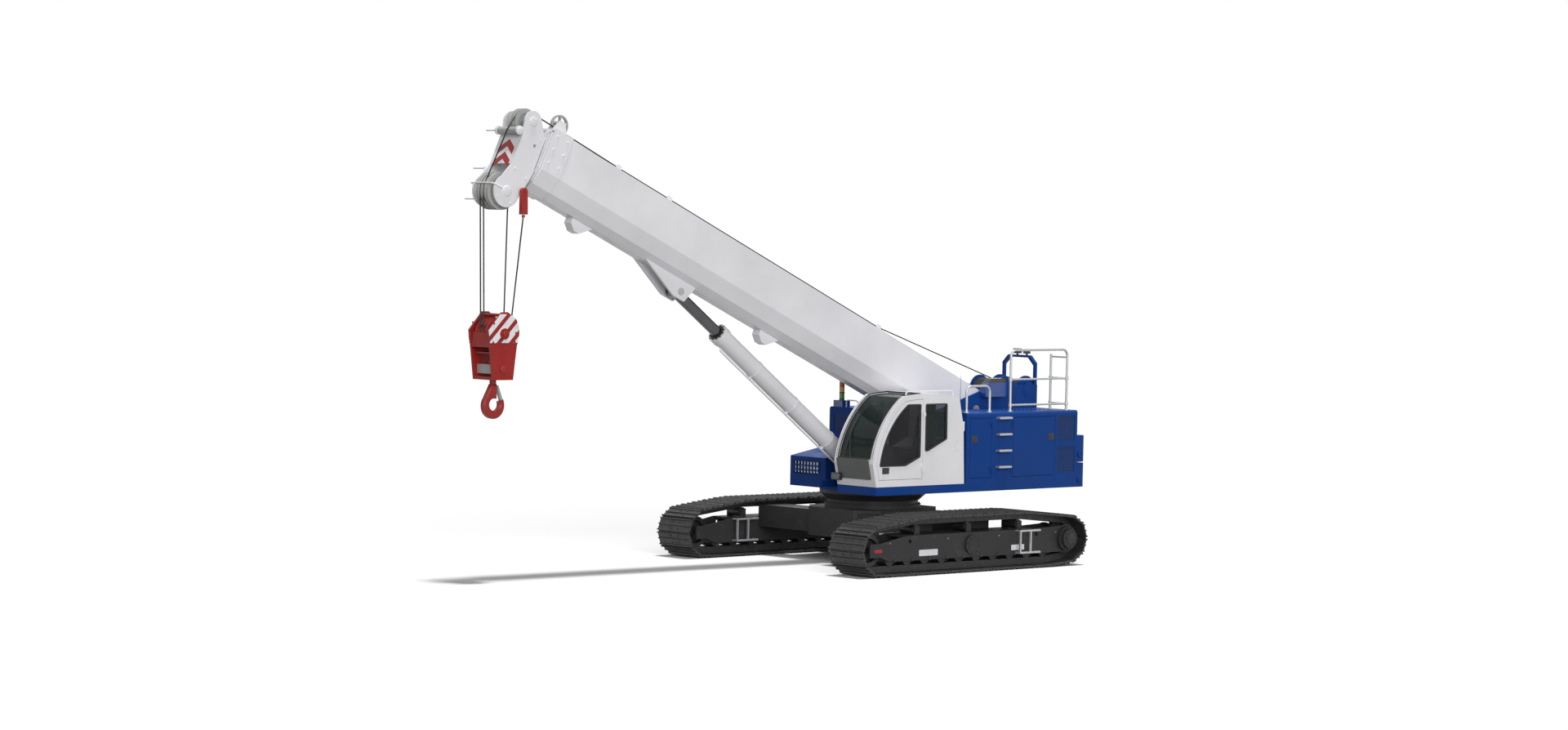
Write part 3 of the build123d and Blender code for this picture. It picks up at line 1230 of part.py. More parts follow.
with BuildPart() as crosshead:
    block((block_x - CROSSHEAD_HALF, block_x + CROSSHEAD_HALF), (-cheek_inside, cheek_inside), CROSSHEAD_Z)
    disc(level(CROSSHEAD_Z[0]), (block_x, 0), SHANK_RADIUS + RUNNING_GAP, CROSSHEAD_Z[1] - CROSSHEAD_Z[0],
         mode=Mode.SUBTRACT)
save(crosshead.part, "crosshead")

with BuildPart() as block_sheaves:
    for k in range(4):
        y = (k - 1.5) * SHEAVE_PITCH
        sheave(side(y), (block_x, AXLE_Z), BLOCK_SHEAVE_RADIUS)
    disc(side(0), (block_x, AXLE_Z), SHEAVE_PIN, cheek_inside, both=True)
save(block_sheaves.part, "block_sheaves")

# Hook: the bowl's point faces the rear, with a latch from the neck to the point
BOWL_RADIUS = 205
THROAT_RADIUS = 98
THROAT_SHIFT = 10
THROAT_RISE = 15
HOOK_THICK = 116
HOOK_EDGE = 24
NECK_RISE = 330
BACK_TURN = radians(20)
POINT_INNER = (60, 40)
POINT_MIDDLE = (140, 75)
POINT_OUTER = (300, 150)
NUT_RADIUS = 88
NUT_HEIGHT = 70
LATCH_HALF = 30
LATCH_TOP = 310
LATCH_THICK = 36
bowl_z = HOOK_BOTTOM + BOWL_RADIUS
neck_top = bowl_z + NECK_RISE
nut_low = CROSSHEAD_Z[1] + RUNNING_GAP
with BuildPart() as hook:
    with BuildSketch(side(0)):
        with Locations((block_x, bowl_z)):
            Circle(BOWL_RADIUS)
        with BuildLine():
            Polyline((block_x - SHANK_RADIUS, neck_top), (block_x + SHANK_RADIUS, neck_top),
                     (block_x + BOWL_RADIUS * cos(BACK_TURN), bowl_z + BOWL_RADIUS * sin(BACK_TURN)),
                     (block_x - SHANK_RADIUS, bowl_z), close=True)
        make_face()
        with Locations((block_x - THROAT_SHIFT, bowl_z + THROAT_RISE)):
            Circle(THROAT_RADIUS, mode=Mode.SUBTRACT)
        with BuildLine():
            Polyline((block_x - POINT_INNER[0], bowl_z + POINT_INNER[1]),
                     (block_x - POINT_MIDDLE[0], bowl_z + POINT_MIDDLE[1]),
                     (block_x - POINT_OUTER[0], bowl_z + POINT_OUTER[1]),
                     (block_x - POINT_OUTER[0], neck_top + HOOK_EDGE),
                     (block_x - SHANK_RADIUS, neck_top + HOOK_EDGE),
                     (block_x - SHANK_RADIUS, bowl_z + POINT_INNER[1]), close=True)
        make_face(mode=Mode.SUBTRACT)
    extrude(amount=HOOK_THICK / 2, both=True)
    flanks = hook.faces().filter_by(Axis.Y).sort_by(Axis.Y)
    chamfer(flanks[0].edges() + flanks[-1].edges(), HOOK_EDGE)
    disc(level(neck_top), (block_x, 0), SHANK_RADIUS, nut_low + NUT_HEIGHT - neck_top)
    disc(level(nut_low), (block_x, 0), NUT_RADIUS, NUT_HEIGHT)
save(hook.part, "hook")

latch_foot = POINT_MIDDLE[1] + RUNNING_GAP
point_slope = (POINT_OUTER[1] - POINT_MIDDLE[1]) / (POINT_OUTER[0] - POINT_MIDDLE[0])
latch_tip = POINT_MIDDLE[0] + LATCH_THICK
with BuildPart() as hook_latch:
    profile(side(0), [
        (block_x - SHANK_RADIUS - RUNNING_GAP, bowl_z + LATCH_TOP),
        (block_x - SHANK_RADIUS - LATCH_THICK, bowl_z + LATCH_TOP),
        (block_x - latch_tip, bowl_z + latch_foot + LATCH_THICK * point_slope),
        (block_x - POINT_MIDDLE[0], bowl_z + latch_foot)], LATCH_HALF, both=True)
save(hook_latch.part, "hook_latch")
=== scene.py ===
"""Looks of the telescopic crawler crane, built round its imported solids."""
import math

import bmesh
import bpy
import numpy as np
from mathutils import Matrix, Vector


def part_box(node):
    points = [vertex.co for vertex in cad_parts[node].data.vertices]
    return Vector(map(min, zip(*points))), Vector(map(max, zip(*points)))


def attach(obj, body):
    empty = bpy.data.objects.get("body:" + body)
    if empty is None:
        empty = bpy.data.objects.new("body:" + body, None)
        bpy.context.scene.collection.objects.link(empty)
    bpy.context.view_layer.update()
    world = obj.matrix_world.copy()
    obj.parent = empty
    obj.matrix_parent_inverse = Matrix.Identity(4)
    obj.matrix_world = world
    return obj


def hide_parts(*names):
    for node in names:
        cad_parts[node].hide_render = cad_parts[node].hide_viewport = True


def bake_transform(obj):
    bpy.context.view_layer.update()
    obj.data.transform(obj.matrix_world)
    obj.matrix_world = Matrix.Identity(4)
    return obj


bl_info = {
    "name": "Crawler crane looks",
    "version": (1, 0, 0),
    "blender": (4, 5, 0),
    "location": "3D View > Sidebar > Crane",
    "description": "Dresses the packed crane with its finishes, ropes, bolts, trim and stage",
    "category": "Object",
}

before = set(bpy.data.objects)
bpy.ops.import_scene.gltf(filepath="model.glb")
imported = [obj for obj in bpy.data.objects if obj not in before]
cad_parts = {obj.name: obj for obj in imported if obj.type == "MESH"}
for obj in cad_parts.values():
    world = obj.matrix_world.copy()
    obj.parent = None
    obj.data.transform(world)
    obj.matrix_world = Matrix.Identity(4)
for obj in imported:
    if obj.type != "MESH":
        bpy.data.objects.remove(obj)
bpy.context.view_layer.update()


def middle(node):
    """Centre of a CAD node's box."""
    low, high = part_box(node)
    return (np.array(low) + np.array(high)) / 2


SLEW = np.array([middle("slew_ring")[0], 0.0, 0.0])
FOOT = middle("boom_foot_pin")
SHEAVE = middle("head_sheaves")
LOWER_PIN = middle("cylinder_pin")
BOOM_ANGLE = math.radians(24)
BOOM_ALONG = np.array([math.cos(BOOM_ANGLE), 0, math.sin(BOOM_ANGLE)])
BOOM_UP = np.array([-math.sin(BOOM_ANGLE), 0, math.cos(BOOM_ANGLE)])
FORWARD, ACROSS, UP = np.eye(3)
TAU = 2 * math.pi
HANDS = (("left", 1), ("right", -1))

# Sizes shared with the solids, in metres. Places on the boom are (along, up) from its foot pin.
ROPE_GROOVE = 0.030
LOW_SHEAVE = 0.290
TOP_SHEAVE = 0.205
BLOCK_SHEAVE = 0.240
SHEAVE_PITCH = 0.080
LOW_AT = (10.660, -0.880)
TOP_AT = (10.640, 0.300)
GUIDE_AT = (10.820, 0.070)
GUIDE_ROLLER = 0.055
ROD_EYE_AT = (6.7, -0.8)
SECTION_STOPS = (9.24, 9.84, 10.44)
BOOM_TOP = 0.350
COLLAR_HALF = 0.360
HEAD_HALF = 0.270
HEAD_FACE = 10.750
GUIDES = (2.400, 7.480, 8.640)
GUIDE_ROPE = BOOM_TOP + 0.075 + 0.026
ROPE_Y = SHEAVE_PITCH / 2
ROPE_LAY = 0.16
WINCH_X = (-2.780, -3.270)
WINCH_Z = 2.820
DRUM = 0.150
DRUM_HALF = 0.285
AXLE_Z = 3.850
BLOCK_CHEEK = 0.250
BLOCK_FACE = 0.262
GAUGE = 4.200
FRAME_OUT = 2.360
HUB_AT = (-2.190, 0.450)
COVER_AT = (0.0, 0.4375)
RING_TOP = 0.9725
DECK_HALF = 1.339
HOUSING_TOP = 2.510
PLATFORM_FACE = 0.650
RAIL_POSTS = ((-3.29, 1.269), (-1.93, 1.269), (-3.29, 0.889))
GATE_POSTS = ((-1.44, 1.269), (-0.90, 1.269))
ARCH_FACE = -3.440 + 0.055
TUBE_SKIN = 0.150
SHOE_COUNT = 46
SHOE_WIDTH = 0.800
SHOE_PLATE = 0.026
SHOE_FOOT = 0.048
# Track wheels as (x, z, radius), round which the chain runs
TRACK_WHEELS = np.array([(-1.773, 0.254, 0.254), (2.175, 0.420, 0.420), (1.172, 0.723, 0.234),
                         (-1.172, 0.723, 0.234), (-2.190, 0.450, 0.405)])
# Cab in side view: three points of its curved front and three of its roof
CAB_FRONT = ((1.290, 1.720), (1.055, 2.345), (0.606, 2.810))
CAB_ROOF = ((0.606, 2.810), (0.0, 2.850), (-0.660, 2.785))
REAR_WINDOW = ((-0.380, 2.097), (-0.375, 2.673), (0.105, 2.673), (0.105, 1.909), (0.051, 1.909))
WINDOW_CORNER = 0.022
# Camera from the slewing axis, with its yaw, pitch and roll
CAMERA_EYE = np.array([46.9677, 49.2221, 5.8428])
CAMERA_TURN = (-2.3104, -0.0383, 0.0186)


def at(x, y, z):
    """Points given from the slewing axis: x forward, y left, z up."""
    x, y, z = np.broadcast_arrays(x, y, z)
    return SLEW + np.stack([x, y, z], axis=-1).astype(float)


def boom_at(along, y, up):
    """Points given along the boom from its foot pin, across it and square to it."""
    along, y, up = (np.asarray(v, float)[..., None] for v in np.broadcast_arrays(along, y, up))
    return FOOT + along * BOOM_ALONG + y * ACROSS + up * BOOM_UP


# Shells: arrays of points and of quads, worked out as whole arrays


def grid(points, wrap_u=False, wrap_v=False):
    """Quads over a grid of points (u, v, 3), wrapped round in u or v where asked."""
    nu, nv = points.shape[:2]
    index = np.arange(nu * nv).reshape(nu, nv)
    if wrap_u:
        index = np.vstack([index, index[:1]])
    if wrap_v:
        index = np.hstack([index, index[:, :1]])
    quads = np.stack([index[:-1, :-1], index[1:, :-1], index[1:, 1:], index[:-1, 1:]], axis=-1)
    return points.reshape(-1, 3), quads.reshape(-1, 4)


def together(*shells):
    """One shell from several: points end to end, quads shifted by the points before them."""
    counts = np.cumsum([0] + [len(s[0]) for s in shells])
    points = np.concatenate([s[0] for s in shells])
    quads = np.concatenate([s[1] + n for s, n in zip(shells, counts)])
    return points, quads


def repeat(shell, places, turns=None):
    """Copies of a shell: each point turned by its copy's matrix, then moved to its copy's place."""
    points, quads = shell
    places = np.asarray(places, float).reshape(-1, 3)
    if turns is None:
        turned = np.broadcast_to(points, (len(places),) + points.shape)
    else:
        turned = np.einsum("kij,nj->kni", np.broadcast_to(turns, (len(places), 3, 3)), points)
    moved = turned + places[:, None]
    shifts = np.arange(len(places))[:, None, None] * len(points)
    return moved.reshape(-1, 3), (quads[None] + shifts).reshape(-1, 4)


def unit(vectors):
    """Vectors made one long."""
    return vectors / np.linalg.norm(vectors, axis=-1, keepdims=True)


def axes(x, z):
    """Turn matrices whose columns are x, z cross x and z."""
    x, z = np.broadcast_arrays(np.asarray(x, float), np.asarray(z, float))
    z = unit(z)
    y = unit(np.cross(z, x))
    return np.stack([np.cross(y, z), y, z], axis=-1)


def lathe(profile, sides=32):
    """Surface of revolution about z: (r cos t, r sin t, h) for each (r, h) of the profile, turn t."""
    profile = np.asarray(profile, float)
    turn = np.linspace(0, TAU, sides, endpoint=False)
    r, h = profile[:, :1], profile[:, 1:]
    points = np.stack([r * np.cos(turn), r * np.sin(turn), h + 0 * turn], axis=-1)
    return grid(points, wrap_v=True)


def run_length(path):
    """Length along a path up to each of its points."""
    return np.concatenate([[0], np.cumsum(np.linalg.norm(np.diff(path, axis=0), axis=1))])


def tube(path, radius, sides=10, ref=ACROSS, lobes=0, twist=0.0, closed=False):
    """Round section carried along a path: c(s) + r (n cos t + b sin t), with closed ends.

    With lobes, the radius swells lobes times a turn and the section turns with the length, as laid
    strands do."""
    path = np.asarray(path, float)
    if closed:
        run = unit(np.roll(path, -1, 0) - np.roll(path, 1, 0))
    else:
        run = unit(np.gradient(path, axis=0))
    normal = unit(np.cross(run, ref))
    other = np.cross(run, normal)
    start = np.linspace(0, TAU, sides, endpoint=False)[None]
    turn = start + twist * run_length(path)[:, None]
    swell = 1 + (0.12 * np.cos(lobes * start) if lobes else 0) + 0 * turn
    ring = np.asarray(radius, float).reshape(-1, 1) * swell
    points = path[:, None] + ring[..., None] * (
        np.cos(turn)[..., None] * normal[:, None] + np.sin(turn)[..., None] * other[:, None])
    if closed:
        return grid(points, wrap_u=True, wrap_v=True)
    caps = [np.broadcast_to(path[k], points[:1].shape) for k in (0, -1)]
    return grid(np.concatenate([caps[0], points, caps[1]]), wrap_v=True)


def rounded(width, height, radius, steps=4):
    """Rectangle with round corners: four quarter turns of the corner radius, end to end."""
    turn = np.linspace(0, TAU / 4, steps) + np.arange(4)[:, None] * TAU / 4
    cx = np.array([1, -1, -1, 1])[:, None] * (width / 2 - radius)
    cy = np.array([1, 1, -1, -1])[:, None] * (height / 2 - radius)
    return np.stack([cx + radius * np.cos(turn), cy + radius * np.sin(turn)], axis=-1).reshape(-1, 2)


def plate(outline, depth, edge=0.0):
    """Outline carried from z 0 to depth with a bevelled edge, closed on its centre."""
    outline = np.asarray(outline, float)
    centre = outline.mean(0)
    reach = np.linalg.norm(outline - centre, axis=1, keepdims=True)
    inner = centre + (outline - centre) * (1 - edge / reach)
    within = np.broadcast_to(centre, outline.shape)
    levels = [(within, 0.0), (inner, 0.0), (outline, edge), (outline, depth - edge),
              (inner, depth), (within, depth)]
    return grid(stacked(levels), wrap_v=True)


def stacked(levels):
    """Grid of points from flat rings, each at its own z."""
    return np.stack([np.column_stack([ring, np.full(len(ring), z)]) for ring, z in levels])


def brick(size, edge=0.004):
    """Block with rounded upright corners and bevelled ends, standing on z 0."""
    radius = min(size[0], size[1]) * 0.18
    return plate(rounded(size[0], size[1], radius), size[2], edge)


def bolt(radius, height):
    """Six-sided head with a crowned top, on a washer."""
    seat, rim = 0.2 * height, 1.5 * radius
    washer = lathe([(0, 0), (rim, 0), (rim, seat), (0, seat)], 12)
    head = lathe([(0, seat), (radius, seat), (radius, 0.85 * height), (0.8 * radius, height),
                  (0, height)], 6)
    return together(washer, head)


def band(outline, face, out, width, height):
    """Raised strip along a closed line on a face: a box section carried round it."""
    line = np.asarray(outline, float)
    tangent = unit(unit(np.roll(line, -1, 0) - line) + unit(line - np.roll(line, 1, 0)))
    side = np.stack([tangent[:, 1], -tangent[:, 0]], axis=-1) * width / 2
    inner, outer = line - side, line + side
    section = ((outer, -height), (outer, height), (inner, height), (inner, -height))
    points = np.stack([at(flat[:, 0], face + out * lift, flat[:, 1]) for flat, lift in section])
    return grid(points, wrap_u=True, wrap_v=True)


def bent(points, radius, steps=6):
    """Line through corner points with each corner rounded: (1-t)^2 s + 2t(1-t) p + t^2 e between
    points that lie the bend's radius before and after the corner p."""
    points = np.asarray(points, float)
    before, corner, after = points[:-2], points[1:-1], points[2:]
    t = np.linspace(0, 1, steps)[None, :, None]
    start = (corner + radius * unit(before - corner))[:, None]
    end = (corner + radius * unit(after - corner))[:, None]
    arcs = (1 - t) ** 2 * start + 2 * t * (1 - t) * corner[:, None] + t ** 2 * end
    return np.concatenate([points[:1], arcs.reshape(-1, 3), points[-1:]])


def straight(start, end, step):
    """Evenly spaced points from start to end: s + (e - s) t."""
    start, end = np.asarray(start, float), np.asarray(end, float)
    count = max(2, int(np.linalg.norm(end - start) / step))
    return start + (end - start) * np.linspace(0, 1, count)[:, None]


def polar(centre, radius, count, u=FORWARD, v=UP, phase=0.0):
    """Points spread evenly round a centre in a plane: c + r (u cos t + v sin t)."""
    turn = (phase + np.linspace(0, TAU, count, endpoint=False))[:, None]
    return centre + radius * (np.cos(turn) * u + np.sin(turn) * v)


def three_point(p, q, r):
    """Centre and radius of the circle through three points of a plane."""
    p, q, r = (np.asarray(v, float) for v in (p, q, r))
    centre = np.linalg.solve(2 * np.array([q - p, r - p]), [q @ q - p @ p, r @ r - p @ p])
    return centre, np.linalg.norm(p - centre)


def softened(outline, radius, steps=4):
    """Closed outline in a plane with each corner rounded as bent() rounds it."""
    flat = np.asarray(outline, float)
    loop = np.column_stack([np.vstack([flat[-1:], flat, flat[:1]]), np.zeros(len(flat) + 2)])
    return bent(loop, radius, steps)[1:-1, :2]


def mirrored(half):
    """Closed outline from its right half: the same points again, x turned round, in reverse order."""
    half = np.asarray(half, float)
    return np.vstack([half, half[::-1] * [-1, 1]])


def mounted(shell, places, x, z):
    """A shell turned so that its own x and z lie along two directions, at one or more places."""
    return repeat(shell, places, axes(x, z))


def studs(radius, height, places, out):
    """Bolt heads on washers, standing on a face."""
    ref = FORWARD if abs(np.asarray(out, float)[0]) < 0.9 else ACROSS
    return mounted(bolt(radius, height), places, ref, out)


def knob(profile, sides, places, out, x=FORWARD):
    """Turned pieces standing on a face: lathe() surfaces whose axis points out of it."""
    return mounted(lathe(profile, sides), places, x, out)


def card(size, corner, depth, edge, place, x, out, steps=4):
    """Thin plate with round corners lying on a face."""
    return mounted(plate(rounded(*size, corner, steps), depth, edge), place, x, out)


FINISH = {}


def make(name, shell, body, finish, crease=35):
    """Mesh object from a shell: doubles merged, faces turned outwards, riding on its body."""
    points, quads = shell
    mesh = bpy.data.meshes.new(name)
    mesh.vertices.add(len(points))
    mesh.vertices.foreach_set("co", np.ascontiguousarray(points, np.float32).ravel())
    mesh.loops.add(quads.size)
    mesh.loops.foreach_set("vertex_index", np.ascontiguousarray(quads, np.int32).ravel())
    mesh.polygons.add(len(quads))
    mesh.polygons.foreach_set("loop_start", np.arange(0, quads.size, 4, dtype=np.int32))
    mesh.update(calc_edges=True)
    work = bmesh.new()
    work.from_mesh(mesh)
    bmesh.ops.remove_doubles(work, verts=work.verts, dist=1e-5)
    bmesh.ops.dissolve_degenerate(work, edges=work.edges, dist=1e-6)
    bmesh.ops.recalc_face_normals(work, faces=work.faces)
    work.to_mesh(mesh)
    work.free()
    mesh.polygons.foreach_set("use_smooth", np.ones(len(mesh.polygons), bool))
    mesh.set_sharp_from_angle(angle=math.radians(crease))
    mesh.materials.append(FINISH[finish])
    piece = bpy.data.objects.new(name, mesh)
    bpy.context.scene.collection.objects.link(piece)
    if body:
        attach(piece, body)
    return piece


# Finishes


class Tree:
    """Short hand for a material's nodes."""

    def __init__(self, name):
        self.material = bpy.data.materials.new(name)
        self.material.use_nodes = True
        self.tree = self.material.node_tree
        self.shader = self.tree.nodes["Principled BSDF"]
        self.place = self.node("ShaderNodeTexCoord").outputs["Object"]

    def node(self, kind, **values):
        made = self.tree.nodes.new(kind)
        for key, value in values.items():
            if hasattr(made, key):
                setattr(made, key, value)
            else:
                self.feed(made.inputs[key.replace("_", " ")], value)
        return made

    def feed(self, socket, value):
        if isinstance(value, bpy.types.NodeSocket):
            self.tree.links.new(value, socket)
        else:
            socket.default_value = value

    def noise(self, scale, detail=4.0, roughness=0.55):
        return self.node("ShaderNodeTexNoise", Vector=self.place, Scale=scale, Detail=detail,
                         Roughness=roughness).outputs["Fac"]

    def span(self, value, low, high, to_low=0.0, to_high=1.0):
        made = self.node("ShaderNodeMapRange", Value=value, From_Min=low, From_Max=high,
                         To_Min=to_low, To_Max=to_high)
        return made.outputs["Result"]

    def mix(self, factor, first, second):
        made = self.node("ShaderNodeMix", data_type="RGBA")
        for key, value in (("Factor", factor), ("A", first), ("B", second)):
            self.feed(made.inputs[key], (*value, 1) if isinstance(value, tuple) else value)
        return made.outputs["Result"]

    def maths(self, operation, first, second=0.0):
        made = self.node("ShaderNodeMath", operation=operation)
        self.feed(made.inputs[0], first)
        self.feed(made.inputs[1], second)
        return made.outputs["Value"]

    def bump(self, height, strength, distance):
        made = self.node("ShaderNodeBump", Height=height, Strength=strength, Distance=distance)
        self.link("Normal", made.outputs["Normal"])

    def axis(self, letter):
        return self.node("ShaderNodeSeparateXYZ", Vector=self.place).outputs[letter]

    def link(self, key, socket):
        self.tree.links.new(socket, self.shader.inputs[key])

    def colour(self, factor, first, second):
        self.link("Base Color", self.mix(factor, first, second))

    def rough(self, scale, detail, low, high, grain=0.55):
        """Roughness that drifts between two values with a noise."""
        self.link("Roughness", self.span(self.noise(scale, detail, grain), 0.3, 0.7, low, high))

    def set(self, **values):
        for key, value in values.items():
            self.shader.inputs[key.replace("_", " ")].default_value = value
        return self.material


def shade(colour, factor):
    """A colour made darker or lighter by one factor."""
    return tuple(c * factor for c in colour)


def paint(name, colour, roughness=0.35, coat=0.25, soil=0.12, soil_height=0.0, peel=0.25,
          gloss=0.5):
    """Sprayed paint: slight drift of tone, dulled patches, orange peel, and dust that thins out with
    height."""
    tree = Tree(name)
    dull = tuple(c * 0.86 + 0.008 for c in colour)
    tone = tree.mix(tree.span(tree.noise(0.9, 5), 0.3, 0.7), dull, colour)
    streak = tree.span(tree.noise(7.0, 6, 0.65), 0.56, 0.78, 0.0, soil)
    if soil_height:
        low = tree.span(tree.axis("Z"), 0.0, soil_height, 1.0, 0.15)
        streak = tree.maths("MULTIPLY", streak, low)
    tree.colour(streak, tone, (0.20, 0.185, 0.165))
    tree.rough(3.5, 6, roughness - 0.07, roughness + 0.12)
    tree.bump(tree.noise(220, 2), peel, 0.0006)
    return tree.set(Coat_Weight=coat, Coat_Roughness=0.12, Specular_IOR_Level=gloss)


def cast(name, colour, metallic, roughness, worn=0.25, bright=(0.2, 0.2, 0.2)):
    """Cast or rolled steel: pitted skin with rubbed patches showing brighter metal."""
    tree = Tree(name)
    rub = tree.span(tree.noise(9, 8, 0.7), 0.52, 0.72, 0.0, worn)
    base = tree.mix(tree.span(tree.noise(30, 4), 0.35, 0.65), shade(colour, 0.72), colour)
    tree.colour(rub, base, bright)
    tree.rough(14, 5, roughness - 0.12, roughness + 0.14)
    tree.bump(tree.noise(90, 5), 0.55, 0.0015)
    return tree.set(Metallic=metallic)


def galvanised(name, colour):
    """Zinc coat: flakes of slightly different grey and gloss."""
    tree = Tree(name)
    flake = tree.node("ShaderNodeTexVoronoi", Vector=tree.place, Scale=55.0)
    grey = tree.node("ShaderNodeRGBToBW", Color=flake.outputs["Color"]).outputs["Val"]
    tree.colour(grey, shade(colour, 0.78), colour)
    tree.link("Roughness", tree.span(grey, 0.0, 1.0, 0.34, 0.55))
    tree.bump(tree.noise(150, 3), 0.2, 0.0005)
    return tree.set(Metallic=0.55)


def moulded(name, colour, roughness=0.55):
    """Moulded plastic or rubber: fine even grain."""
    tree = Tree(name)
    tree.colour(tree.noise(6, 4), shade(colour, 0.8), colour)
    tree.rough(25, 3, roughness - 0.06, roughness + 0.08)
    tree.bump(tree.noise(520, 2), 0.35, 0.0005)
    return tree.material


def tinted(name, colour, cover):
    """Tinted safety glass: thin, dark, clear enough to show what stands close behind it."""
    tree = Tree(name)
    tree.colour(tree.noise(1.2, 2), shade(colour, 0.9), colour)
    tree.rough(11, 5, 0.02, 0.07)
    return tree.set(Alpha=cover, IOR=1.45, Specular_IOR_Level=0.25)


def cloth(name, colour):
    """Woven upholstery: crossing threads as bump, with soft drift of tone."""
    tree = Tree(name)
    warp, weft = (tree.node("ShaderNodeTexWave", bands_direction=d, Vector=tree.place, Scale=160.0,
                            Distortion=0.6).outputs["Fac"] for d in ("X", "Z"))
    weave = tree.maths("MULTIPLY", warp, weft)
    tree.colour(weave, shade(colour, 0.6), colour)
    tree.link("Roughness", tree.span(weave, 0.0, 1.0, 0.95, 0.8))
    tree.bump(weave, 0.5, 0.001)
    return tree.set(Sheen_Weight=0.3)


def polished(name, colour, roughness):
    """Ground bright steel: fine scratches round the piece and a little tarnish."""
    tree = Tree(name)
    tree.colour(tree.noise(5, 6), shade(colour, 0.82), colour)
    tree.rough(40, 6, roughness * 0.6, roughness * 1.5, 0.7)
    tree.bump(tree.noise(300, 2), 0.1, 0.0003)
    return tree.set(Metallic=1.0)


def wire(name, colour):
    """Greased wire rope: dark grease in the hollows, steel on the crowns."""
    tree = Tree(name)
    tree.colour(tree.span(tree.noise(60, 5), 0.4, 0.75), colour, shade(colour, 3.2))
    tree.rough(90, 4, 0.35, 0.6)
    tree.bump(tree.noise(700, 3), 0.5, 0.001)
    return tree.set(Metallic=0.6)


def striped(name, ground, stripe, corner, pitch, height, faces):
    """Two paints in slanting bands, counted by x + z from a corner, up to a height and between two
    distances from the middle plane."""
    tree = Tree(name)
    x, y, z = (tree.axis(letter) for letter in "XYZ")
    slant = tree.maths("SUBTRACT", tree.maths("ADD", x, z), corner[0] + corner[1])
    turn = tree.maths("FRACT", tree.maths("DIVIDE", slant, pitch))
    mask = tree.maths("GREATER_THAN", turn, 0.40)
    for value, low, high in ((z, corner[1], corner[1] + height),
                             (tree.maths("ABSOLUTE", y), faces[0], faces[1])):
        mask = tree.maths("MULTIPLY", mask, tree.maths("GREATER_THAN", value, low))
        mask = tree.maths("MULTIPLY", mask, tree.maths("LESS_THAN", value, high))
    base = tree.mix(tree.span(tree.noise(2.5, 5), 0.3, 0.7), shade(ground, 0.8), ground)
    grime = tree.span(tree.noise(9, 6, 0.65), 0.55, 0.78, 0.0, 0.25)
    tree.colour(grime, tree.mix(mask, base, stripe), (0.10, 0.07, 0.06))
    tree.rough(8, 5, 0.30, 0.52)
    tree.bump(tree.noise(220, 2), 0.25, 0.0006)
    return tree.set(Specular_IOR_Level=0.3)


def banded(name, base, bands):
    """Stack of colours: one for each span of height, over a base."""
    tree = Tree(name)
    z = tree.axis("Z")
    tone = tree.mix(tree.noise(20, 3), base, shade(base, 1.3))
    for low, high, colour in bands:
        above, below = tree.maths("GREATER_THAN", z, low), tree.maths("LESS_THAN", z, high)
        tone = tree.mix(tree.maths("MULTIPLY", above, below), tone, colour)
    tree.link("Base Color", tone)
    tree.rough(30, 3, 0.12, 0.3)
    return tree.set(Coat_Weight=0.5)


def tint(name, description, default):
    """Setting for a colour."""
    return bpy.props.FloatVectorProperty(name=name, description=description, subtype="COLOR", size=3,
                                         min=0, max=1, default=default)


def length(name, description, default, measure="LENGTH"):
    """Setting for a length."""
    return bpy.props.FloatProperty(name=name, description=description, default=default, unit=measure)


def strength(name, description, default):
    """Setting for a light's strength."""
    return bpy.props.FloatProperty(name=name, description=description, default=default, min=0)


class CraneColours(bpy.types.PropertyGroup):
    """Colours of the crane's paints."""

    blue: tint("Upper", "Paint of the upper works", (0.003, 0.046, 0.235))
    white: tint("Boom and cab", "Paint of the boom and the cab", (0.80, 0.80, 0.83))
    black: tint("Undercarriage", "Paint of the undercarriage", (0.030, 0.029, 0.031))
    red: tint("Hook block", "Paint of the hook block and hook", (0.34, 0.016, 0.013))
    grey: tint("Sheaves", "Paint of the rope sheaves", (0.40, 0.41, 0.39))
    glass: tint("Glass", "Tint of the cab's glass", (0.012, 0.022, 0.020))


class CraneSizes(bpy.types.PropertyGroup):
    """Sizes of the crane's small pieces."""

    rope: length("Rope radius", "Radius of the hoist rope", 0.011)
    seal: length("Seal width", "Width of the rubber seals round the windows", 0.022)
    shoe_bolt: length("Shoe bolt", "Radius of the bolt heads on the track shoes", 0.014)


class CraneStage(bpy.types.PropertyGroup):
    """Light and floor round the crane."""

    floor: tint("Floor", "Colour of the floor as the camera sees it", (0.95, 0.95, 0.95))
    bounce: tint("Bounce", "Colour of the floor's light on the crane", (0.18, 0.18, 0.18))
    sun: strength("Sun", "Strength of the high sun", 2.4)
    fill: strength("Fill", "Strength of the soft side light", 2.7)
    sky: strength("Sky", "Strength of the even light", 0.12)
    lens: length("Lens", "Focal length of the camera", 0.09375, measure="CAMERA")


